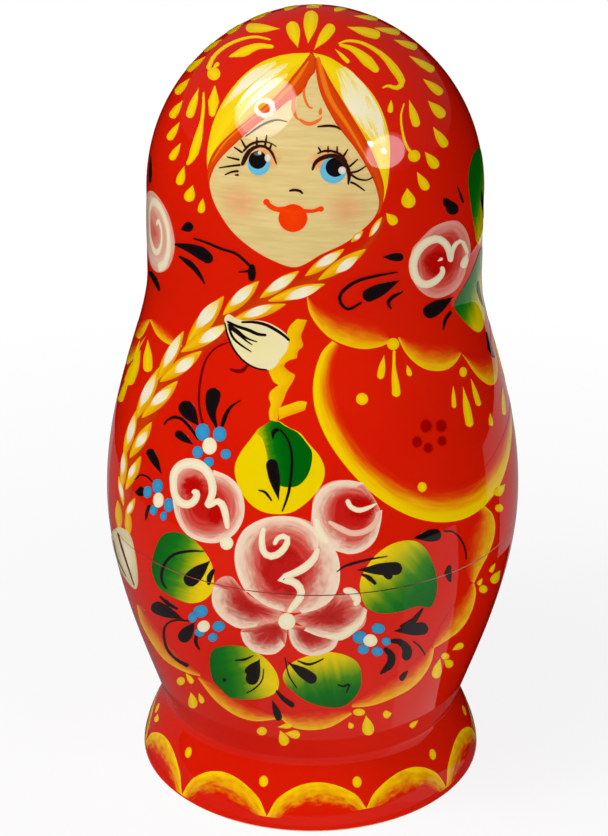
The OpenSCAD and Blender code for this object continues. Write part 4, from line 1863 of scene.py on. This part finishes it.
@dataclass(frozen=True)
class Turning:
    """How the dolls are hollowed and joined, in millimetres on the outer doll."""

    seam_height: float = 72.2
    wall: float = 5.2
    crown_wall: float = 6.0
    floor_height: float = 28.0
    floor_round: float = 1.5
    floor_round_steps: int = 6
    mouth_radius: float = 46.586
    tongue_height: float = 10.0
    tongue_bevel: float = 0.6
    socket_relief: float = 0.6
    fit_room: float = 0.15
    seam_bevel: float = 0.17
    stand_ring: float = 10.0
    stand_hollow: float = 0.8
    foot_bevel: float = 0.6
    mark_radius: float = 2.5
    mark_depth: float = 1.4
    outside_step: float = 1.4
    inside_step: float = 4.0
    outer_segments: int = 192
    inner_segments: int = 128
    coarsest_scale: float = 0.5
    weld: float = 1e-4


@dataclass
class Doll:
    """One doll: its turned halves, and the ornament painted over them."""

    number: int
    count: int
    outline: Outline
    camera: PhotoCamera
    turning: Turning = field(default_factory=Turning)
    first_layer: float = 0.03
    layer: float = 0.03
    sunk: float = 0.04
    finest_brush: float = 0.2
    photo_grain: float = 5.0
    least_faces: tuple[int, int] = (14, 7)
    sharp_edge: float = 0.7
    coarsest_scale: float = 0.45
    grain_power: float = 0.7
    climb: float = 0.9
    streak_step: float = 0.618

    @property
    def opens(self) -> bool:
        """Whether the doll parts into two halves."""
        return self.number < self.count

    def node(self, half: Half) -> str:
        """Gives the name of the node that a half stands for."""
        return f"doll_{self.number}_{half.value}" if self.opens else "seed_doll"

    @cached_property
    def foot(self) -> float:
        """Height in metres at which the doll stands."""
        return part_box(self.node(Half.BOTTOM))[0].z

    @cached_property
    def scale(self) -> float:
        """Size of the doll as a share of the outer doll."""
        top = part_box(self.node(Half.TOP))[1].z
        return (top - self.foot) / (self.outline.height * METRES_PER_MM)

    @property
    def halves(self) -> tuple[Half, ...]:
        """The pieces that the doll is turned in."""
        return (Half.BOTTOM, Half.TOP) if self.opens else (Half.WHOLE,)

    def place(self, bm: bmesh.types.BMesh, name: str, half: Half,
              materials: list[bpy.types.Material]) -> bpy.types.Object:
        """Brings a mesh from the outer doll's millimetres to its place, and makes it a piece.

        Args:
            bm: The mesh, which is freed.
            name: Name of the piece.
            half: The half that the piece rides on.
            materials: Its materials.

        Returns:
            The piece.
        """
        bmesh.ops.scale(bm, vec=Vector((1, 1, 1)) * self.scale * METRES_PER_MM, verts=bm.verts)
        bmesh.ops.translate(bm, vec=Vector((0, 0, self.foot)), verts=bm.verts)
        mesh = bpy.data.meshes.new(name)
        bm.to_mesh(mesh)
        bm.free()
        for material in materials:
            mesh.materials.append(material)
        mesh.shade_smooth()
        mesh.set_sharp_from_angle(angle=self.sharp_edge)
        piece = bpy.data.objects.new(name, mesh)
        bpy.context.collection.objects.link(piece)
        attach(piece, self.node(half))
        log.info("%s: %d faces", name, len(mesh.polygons))
        return piece

    def spin(self, bm: bmesh.types.BMesh, rows: np.ndarray, finish: Finish) -> None:
        """Turns an outline into a surface round the doll's axis.

        Args:
            bm: Mesh that the surface is added to.
            rows: Radius and height of each point of the outline.
            finish: The surface's finish.
        """
        before = set(bm.faces)
        verts = [bm.verts.new((0, -r, z)) for r, z in rows]
        edges = [bm.edges.new(pair) for pair in zip(verts, verts[1:])]
        segments = self.turning.outer_segments if self.number == 1 else self.turning.inner_segments
        bmesh.ops.spin(
            bm, geom=verts + edges, cent=(0, 0, 0), axis=(0, 0, 1), angle=2 * math.pi, steps=segments,
            use_merge=True,
        )
        for face in bm.faces:
            if face not in before:
                face.material_index = finish.value

    def underside(self) -> np.ndarray:
        """Gives the outline of the underside, from its middle to the foot's edge."""
        t, foot = self.turning, self.outline.foot
        return np.array([
            (0, t.stand_hollow + t.mark_depth), (t.mark_radius, t.stand_hollow),
            (foot - t.stand_ring - t.stand_hollow, t.stand_hollow),
            (foot - t.stand_ring, 0), (foot - t.foot_bevel, 0),
        ])

    def tongue_radius(self) -> float:
        """Gives the tongue's radius, whose room in the socket is the same on every doll."""
        t = self.turning
        seam = float(self.outline.radius(t.seam_height))
        return t.mouth_radius + (seam - t.mouth_radius - t.fit_room / self.scale) / 2

    def skins(self, half: Half) -> tuple[np.ndarray, np.ndarray]:
        """Works out what a half is turned from.

        Args:
            half: Which half.

        Returns:
            The outlines of its painted skin and of its bare wood, with radius and height in each row.
        """
        t, outline = self.turning, self.outline
        step = t.outside_step / max(self.scale, t.coarsest_scale)
        tongue, seam = self.tongue_radius(), float(outline.radius(t.seam_height))
        lip = (seam - t.seam_bevel, t.seam_height)
        tongue_top = t.seam_height + t.tongue_height
        if half is Half.WHOLE:
            return outline.stretch(t.foot_bevel, outline.height, step), self.underside()
        if half is Half.TOP:
            skin = np.vstack([lip, outline.stretch(t.seam_height + t.seam_bevel, outline.height, step)])
            socket = tongue + t.fit_room / self.scale
            step_height = tongue_top + t.socket_relief
            hollow = outline.stretch(
                step_height, outline.height - t.crown_wall, t.inside_step, t.wall, t.crown_wall
            )
            hollow[:, 0] = np.minimum(hollow[:, 0], t.mouth_radius)
            return skin, np.vstack([lip, (socket, t.seam_height), (socket, step_height), hollow])
        skin = np.vstack([outline.stretch(t.foot_bevel, t.seam_height - t.seam_bevel, step), lip])
        rounded = t.floor_height + t.floor_round
        hollow = outline.stretch(rounded, t.seam_height, t.inside_step, t.wall)
        hollow[:, 0] = np.minimum(hollow[:, 0], t.mouth_radius)
        turn = np.linspace(0, np.pi / 2, t.floor_round_steps)[1:]
        corner = np.array([hollow[0, 0] - t.floor_round, rounded])
        curve = corner + t.floor_round * np.stack([np.cos(turn), -np.sin(turn)], axis=1)
        bare = np.vstack([
            lip, (tongue, t.seam_height), (tongue, tongue_top - t.tongue_bevel),
            (tongue - t.tongue_bevel, tongue_top), (t.mouth_radius, tongue_top),
            hollow[::-1], curve, (0, t.floor_height),
        ])
        return skin, bare

    def turn(self, half: Half, finishes: list[bpy.types.Material]) -> bpy.types.Object:
        """Makes a half's turned body.

        Args:
            half: Which half.
            finishes: Materials of painted skin, bare wood, and the upper and lower edge at the seam.

        Returns:
            The piece, which stands for the half's node.
        """
        bm = bmesh.new()
        skin, wood = self.skins(half)
        if half is Half.TOP:
            self.spin(bm, skin[:2], Finish.UPPER_EDGE)
            self.spin(bm, skin[1:], Finish.SKIN)
        elif half is Half.BOTTOM:
            self.spin(bm, skin[:-1], Finish.SKIN)
            self.spin(bm, skin[-2:], Finish.LOWER_EDGE)
        else:
            self.spin(bm, skin, Finish.SKIN)
        self.spin(bm, wood, Finish.WOOD)
        if half is Half.BOTTOM:
            self.spin(bm, np.vstack([self.underside(), skin[:1]]), Finish.WOOD)
        elif half is Half.WHOLE:
            self.spin(bm, np.vstack([wood[-1:], skin[:1]]), Finish.WOOD)
        bmesh.ops.remove_doubles(bm, verts=bm.verts, dist=self.turning.weld)
        bmesh.ops.recalc_face_normals(bm, faces=bm.faces)
        piece = self.place(bm, f"{self.node(half)}_body", half, finishes)
        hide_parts(self.node(half))
        return piece

    def spread(self, strokes: list[Stroke]) -> list[tuple[Stroke, tuple[int, int], np.ndarray, np.ndarray]]:
        """Lays strokes out over the doll.

        Args:
            strokes: Strokes in either space.

        Returns:
            Each stroke that is wide enough for the finest brush, with its grid, its places as degrees and
            heights, and where each place is along and across the stroke.
        """
        laid = []
        for stroke in strokes:
            photo = stroke.space is Space.PHOTO
            size = MM_PER_PIXEL if photo else 1.0
            if stroke.finest * size * self.scale < self.finest_brush:
                continue
            shrink = max(self.scale, self.coarsest_scale) ** self.grain_power
            grain = self.photo_grain * MM_PER_PIXEL / shrink / size
            grid = stroke.grid(grain, self.least_faces[self.number > 1])
            along, across = (axis.ravel() for axis in np.meshgrid(
                np.linspace(0, 1, grid[0] + 1), np.linspace(0, 1, grid[1] + 1)
            ))
            spots, marks = stroke.lay(along, across)
            laid.append((stroke, grid, self.camera.chart(spots) if photo else spots, marks))
        return laid

    def dress(self, ornament: Ornament, laid: list, half: Half) -> bpy.types.Object | None:
        """Paints the part of an ornament that lies on one half.

        Args:
            ornament: The ornament.
            laid: Its strokes as spread over the doll.
            half: The half to paint.

        Returns:
            The piece, or None where the ornament doesn't reach the half.
        """
        t = self.turning
        keep = {Half.TOP: t.seam_height + t.seam_bevel, Half.BOTTOM: t.seam_height - t.seam_bevel}.get(half)
        bm = bmesh.new()
        mark_layer = bm.verts.layers.float_vector.new("stroke")
        rise_layer = bm.verts.layers.float_vector.new("rise")
        paints: list[Paint] = []
        for index, (stroke, grid, spots, marks) in enumerate(laid):
            below = half is Half.TOP and spots[:, 1].max() <= keep
            above = half is Half.BOTTOM and spots[:, 1].min() >= keep
            if below or above:
                continue
            places, normals = self.outline.surface(spots[:, 0], spots[:, 1], -self.sunk)
            layers = stroke.paint.order + self.climb * index / len(laid)
            rises = normals * (self.sunk + self.first_layer + self.layer * layers)
            if stroke.paint not in paints:
                paints.append(stroke.paint)
            made = bmesh.ops.create_grid(bm, x_segments=grid[0], y_segments=grid[1], size=1.0)["verts"]
            for vert, place, rise, mark in zip(made, places, rises, marks):
                vert.co = place
                vert[rise_layer] = rise
                vert[mark_layer] = (mark[0], mark[1], index * self.streak_step % 1.0)
            for face in {face for vert in made for face in vert.link_faces}:
                face.material_index = paints.index(stroke.paint)
        if keep:
            bmesh.ops.bisect_plane(
                bm, geom=bm.verts[:] + bm.edges[:] + bm.faces[:], plane_co=(0, 0, keep), plane_no=(0, 0, 1),
                clear_inner=half is Half.TOP, clear_outer=half is Half.BOTTOM,
            )
        if not bm.faces:
            bm.free()
            return None
        raised = bmesh.ops.extrude_face_region(bm, geom=bm.faces[:], use_keep_orig=True)["geom"]
        for vert in raised:
            if isinstance(vert, bmesh.types.BMVert):
                vert.co += vert[rise_layer]
        bm.verts.layers.float_vector.remove(rise_layer)
        bmesh.ops.recalc_face_normals(bm, faces=bm.faces)
        name = f"{self.node(half)}_{ornament.name}"
        piece = self.place(bm, name, half, [paint.material for paint in paints])
        piece.visible_shadow = False
        return piece

    def build(self, ornaments: list[Ornament], finishes: list[bpy.types.Material]) -> None:
        """Makes the doll's bodies and paints its ornament.

        Args:
            ornaments: What is painted on it.
            finishes: Materials of painted skin, bare wood, and the upper and lower edge at the seam.
        """
        for half in self.halves:
            self.turn(half, finishes)
        for ornament in ornaments:
            laid = self.spread(ornament.strokes())
            for half in self.halves:
                self.dress(ornament, laid, half)


@dataclass(frozen=True)
class Lamp:
    """A flat round lamp, placed so that the doll mirrors its middle at a pixel of the photograph."""

    name: str
    pixel: Pair
    across_mm: Pair
    radiance: float
    distance_mm: float = 900.0
    mirrored: bool = True

    def build(self, camera: PhotoCamera) -> None:
        """Makes the lamp.

        Args:
            camera: The camera that sees the lamp mirrored.
        """
        spot, way = camera.glint(self.pixel)
        wide, high = (side * METRES_PER_MM for side in self.across_mm)
        data = bpy.data.lights.new(self.name, "AREA")
        data.shape = "ELLIPSE"
        data.size, data.size_y = wide, high
        data.energy = self.radiance * math.pi * math.pi / 4 * wide * high
        lamp = bpy.data.objects.new(self.name, data)
        lamp.location = spot + way * self.distance_mm * METRES_PER_MM
        lamp.rotation_mode = "QUATERNION"
        lamp.rotation_quaternion = way.to_track_quat("Z", "Y")
        lamp.visible_glossy = self.mirrored
        bpy.context.collection.objects.link(lamp)


@dataclass(frozen=True)
class Card:
    """Something of one even colour that only the lacquer mirrors."""

    name: str
    colour: Colour

    def mesh(self, camera: PhotoCamera) -> bmesh.types.BMesh:
        """Gives the card's mesh."""
        raise NotImplementedError

    def material(self) -> bpy.types.Material:
        """Makes the card's material."""
        bench = Bench(self.name)
        even_colour = bench.node("ShaderNodeEmission", {}, {"Color": self.colour, "Strength": 1.0})
        bench.node("ShaderNodeOutputMaterial", {}, {0: even_colour})
        return bench.material


@dataclass(frozen=True)
class Flag(Card):
    """A card bent round the doll.

    Each of its two ends is a distance from the doll's axis and a height, in metres. Its angles are degrees
    from the doll's front, to the viewer's right.
    """

    ends: tuple[Pair, Pair]
    angles: Pair
    steps_per_radian: ClassVar[int] = 12

    def mesh(self, camera: PhotoCamera) -> bmesh.types.BMesh:
        """Gives the bent card's mesh.

        Args:
            camera: The camera, which this card doesn't need.

        Returns:
            The mesh, in metres.
        """
        bm = bmesh.new()
        start, end = (math.radians(angle) for angle in self.angles)
        verts = [bm.verts.new((r * math.sin(start), -r * math.cos(start), z)) for r, z in self.ends]
        edge = bm.edges.new(verts)
        bmesh.ops.spin(
            bm, geom=[*verts, edge], cent=(0, 0, 0), axis=(0, 0, 1), angle=end - start,
            steps=max(2, round((end - start) * self.steps_per_radian)),
        )
        return bm


@dataclass(frozen=True)
class Cap(Card):
    """A flat oval in front of a lamp, which the doll mirrors at a pixel of the photograph."""

    pixel: Pair
    across_mm: Pair
    distance_mm: float
    segments: ClassVar[int] = 32

    def mesh(self, camera: PhotoCamera) -> bmesh.types.BMesh:
        """Gives the oval's mesh.

        Args:
            camera: The camera that sees the oval mirrored.

        Returns:
            The mesh, in metres.
        """
        spot, way = camera.glint(self.pixel)
        wide, high = (side * METRES_PER_MM / 2 for side in self.across_mm)
        bm = bmesh.new()
        bmesh.ops.create_circle(bm, cap_ends=True, segments=self.segments, radius=1.0)
        bmesh.ops.scale(bm, vec=(wide, high, 1.0), verts=bm.verts)
        bmesh.ops.rotate(bm, matrix=way.to_track_quat("Z", "Y").to_matrix(), verts=bm.verts)
        bmesh.ops.translate(bm, vec=spot + way * self.distance_mm * METRES_PER_MM, verts=bm.verts)
        return bm


BLACK_CARD = (0.0, 0.0, 0.0)


def grey_card(share: float) -> Colour:
    """Gives a grey from black at 0 to white at 1."""
    return (share, share, share)


@dataclass
class Studio:
    """White floor, lamps, and the cards that shape what the lacquer mirrors."""

    camera: PhotoCamera
    floor_radius_m: float = 12.0
    floor_segments: int = 96
    floor_white: Colour = (0.9, 0.9, 0.9)
    shadow_share: float = 0.13
    shadow_reach_m: Pair = (0.08, 0.4)
    around: float = 0.1
    cards: tuple[Card, ...] = (
        Flag("dark_wall", BLACK_CARD, ((0.3, 0.0), (0.3, 0.24)), (165.0, 478.0)),
        Flag("dark_upper_wall", BLACK_CARD, ((0.3, 0.06), (0.3, 0.24)), (118.0, 165.0)),
        Flag("grey_low_wall", grey_card(0.42), ((0.298, 0.0), (0.298, 0.06)), (106.0, 165.0)),
        Flag("foot_shade", grey_card(0.07), ((0.0462, 0.0006), (0.0515, 0.0006)), (0.0, 360.0)),
        Flag("left_floor", grey_card(0.15), ((0.0515, 0.0006), (0.298, 0.0006)), (225.0, 340.0)),
        Flag("front_floor", grey_card(0.28), ((0.0515, 0.0006), (0.298, 0.0006)), (340.0, 410.0)),
        Flag("right_floor", grey_card(0.5), ((0.0515, 0.0006), (0.298, 0.0006)), (50.0, 82.0)),
        # Painted shadow: black cards over the floor to the doll's right and behind, where its shadow falls,
        # seen only in the lacquer's reflection.
        Flag("dark_floor", BLACK_CARD, ((0.0515, 0.0006), (0.298, 0.0006)), (82.0, 118.0)),
        Flag("dark_near_floor", BLACK_CARD, ((0.0515, 0.0006), (0.14, 0.0006)), (118.0, 142.0)),
        Flag("back_floor", grey_card(0.3), ((0.0515, 0.0003), (0.298, 0.0003)), (118.0, 225.0)),
        Cap("umbrella_cap", (1.2, 0.6, 0.3), (264, 108), (140, 85), 860.0),
        Cap("umbrella_shine", grey_card(9.0), (266, 107), (620, 580), 890.0),
        Cap("right_umbrella_shine", grey_card(8.0), (386, 152), (470, 290), 890.0),
    )
    lamps: tuple[Lamp, ...] = (
        Lamp("umbrella", (265, 108), (650, 650), 4.8),
        Lamp("umbrella_head", (265, 108), (230, 180), 22.0, 880.0),
        Lamp("right_umbrella", (386, 150), (540, 300), 1.5),
        Lamp("right_bulb", (370, 144), (58, 58), 62.0, 880.0),
        Lamp("second_right_bulb", (384, 151), (52, 52), 45.0, 880.0),
        Lamp("front_fill", (270, 440), (800, 800), 0.6, 1400.0, mirrored=False),
        Lamp("low_right_fill", (395, 510), (500, 80), 5.0, 400.0, mirrored=False),
        Lamp("low_left_fill", (232, 508), (500, 80), 2.2, 400.0, mirrored=False),
    )

    def build(self) -> None:
        """Sets up the floor, the cards, the lamps and the world."""
        bm = bmesh.new()
        bmesh.ops.create_circle(
            bm, cap_ends=True, segments=self.floor_segments, radius=self.floor_radius_m
        )
        self.stand("floor", bm, self.floor_material())
        for card in self.cards:
            thing = self.stand(card.name, card.mesh(self.camera), card.material())
            thing.visible_camera = False
            thing.visible_diffuse = False
            thing.visible_shadow = False
            thing.visible_transmission = False
        for lamp in self.lamps:
            lamp.build(self.camera)
        world = bpy.data.worlds.new("studio")
        world.use_nodes = True
        nodes = world.node_tree.nodes
        nodes["Background"].inputs["Color"].default_value = (1.0, 1.0, 1.0, 1.0)
        path = nodes.new("ShaderNodeLightPath")
        strength = nodes.new("ShaderNodeMapRange")
        strength.inputs["To Min"].default_value = self.around
        world.node_tree.links.new(path.outputs["Is Camera Ray"], strength.inputs["Value"])
        world.node_tree.links.new(strength.outputs["Result"], nodes["Background"].inputs["Strength"])
        bpy.context.scene.world = world
        bpy.context.scene.view_settings.view_transform = "Standard"

    def stand(self, name: str, bm: bmesh.types.BMesh, material: bpy.types.Material) -> bpy.types.Object:
        """Makes a mesh a part of the stage.

        Args:
            name: Its name.
            bm: The mesh, which is freed.
            material: Its material.

        Returns:
            The stage object.
        """
        mesh = bpy.data.meshes.new(name)
        bm.to_mesh(mesh)
        bm.free()
        mesh.materials.append(material)
        thing = bpy.data.objects.new(name, mesh)
        bpy.context.collection.objects.link(thing)
        return thing

    def floor_material(self) -> bpy.types.Material:
        """Makes the floor's material, which looks white and keeps the shadow near the doll."""
        bench = Bench("white_floor")
        path = bench.node("ShaderNodeLightPath", output="Is Camera Ray")
        glossy = Wire(bench, path.socket.node.outputs["Is Glossy Ray"])
        through = Wire(bench, path.socket.node.outputs["Is Transmission Ray"])
        place = bench.object_place()
        away = bench.node("ShaderNodeVectorMath", {"operation": "LENGTH"}, {0: place}, "Value")
        shadow = away.fall(*self.shadow_reach_m) * self.shadow_share
        seen = path.largest(glossy).largest(through) * (1 - shadow)
        paper = bench.node("ShaderNodeBsdfDiffuse", {}, {"Color": self.floor_white})
        glow = bench.node("ShaderNodeEmission", {}, {"Color": (1.0, 1.0, 1.0), "Strength": 1.0})
        shader = bench.node("ShaderNodeMixShader", {}, {0: seen, 1: paper, 2: glow})
        bench.node("ShaderNodeOutputMaterial", {}, {0: shader})
        return bench.material


def main() -> None:
    """Builds the camera, the studio and the seven dolls."""
    logging.basicConfig(level=logging.INFO, format="%(message)s")
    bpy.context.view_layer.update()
    outline = Outline()
    camera = PhotoCamera(outline)
    camera.build()
    Studio(camera).build()
    finishes = [
        RED.build(), TurnedWood("turned_wood").build(),
        SeamEdge("upper_edge", 0.0).build(), SeamEdge("lower_edge", 0.8).build(),
    ]
    ornaments = [
        Face(), Hair(), Hood(), Braid(), ShoulderFlowers(), Shawl(),
        Apron(), Bow(), Leaves(), Bouquet(), Sprigs(), FootBorder(),
    ]
    count = sum(node.endswith("_bottom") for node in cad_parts) + 1
    for number in range(1, count + 1):
        Doll(number, count, outline, camera).build(ornaments, finishes)


if __name__ == "__main__":
    main()
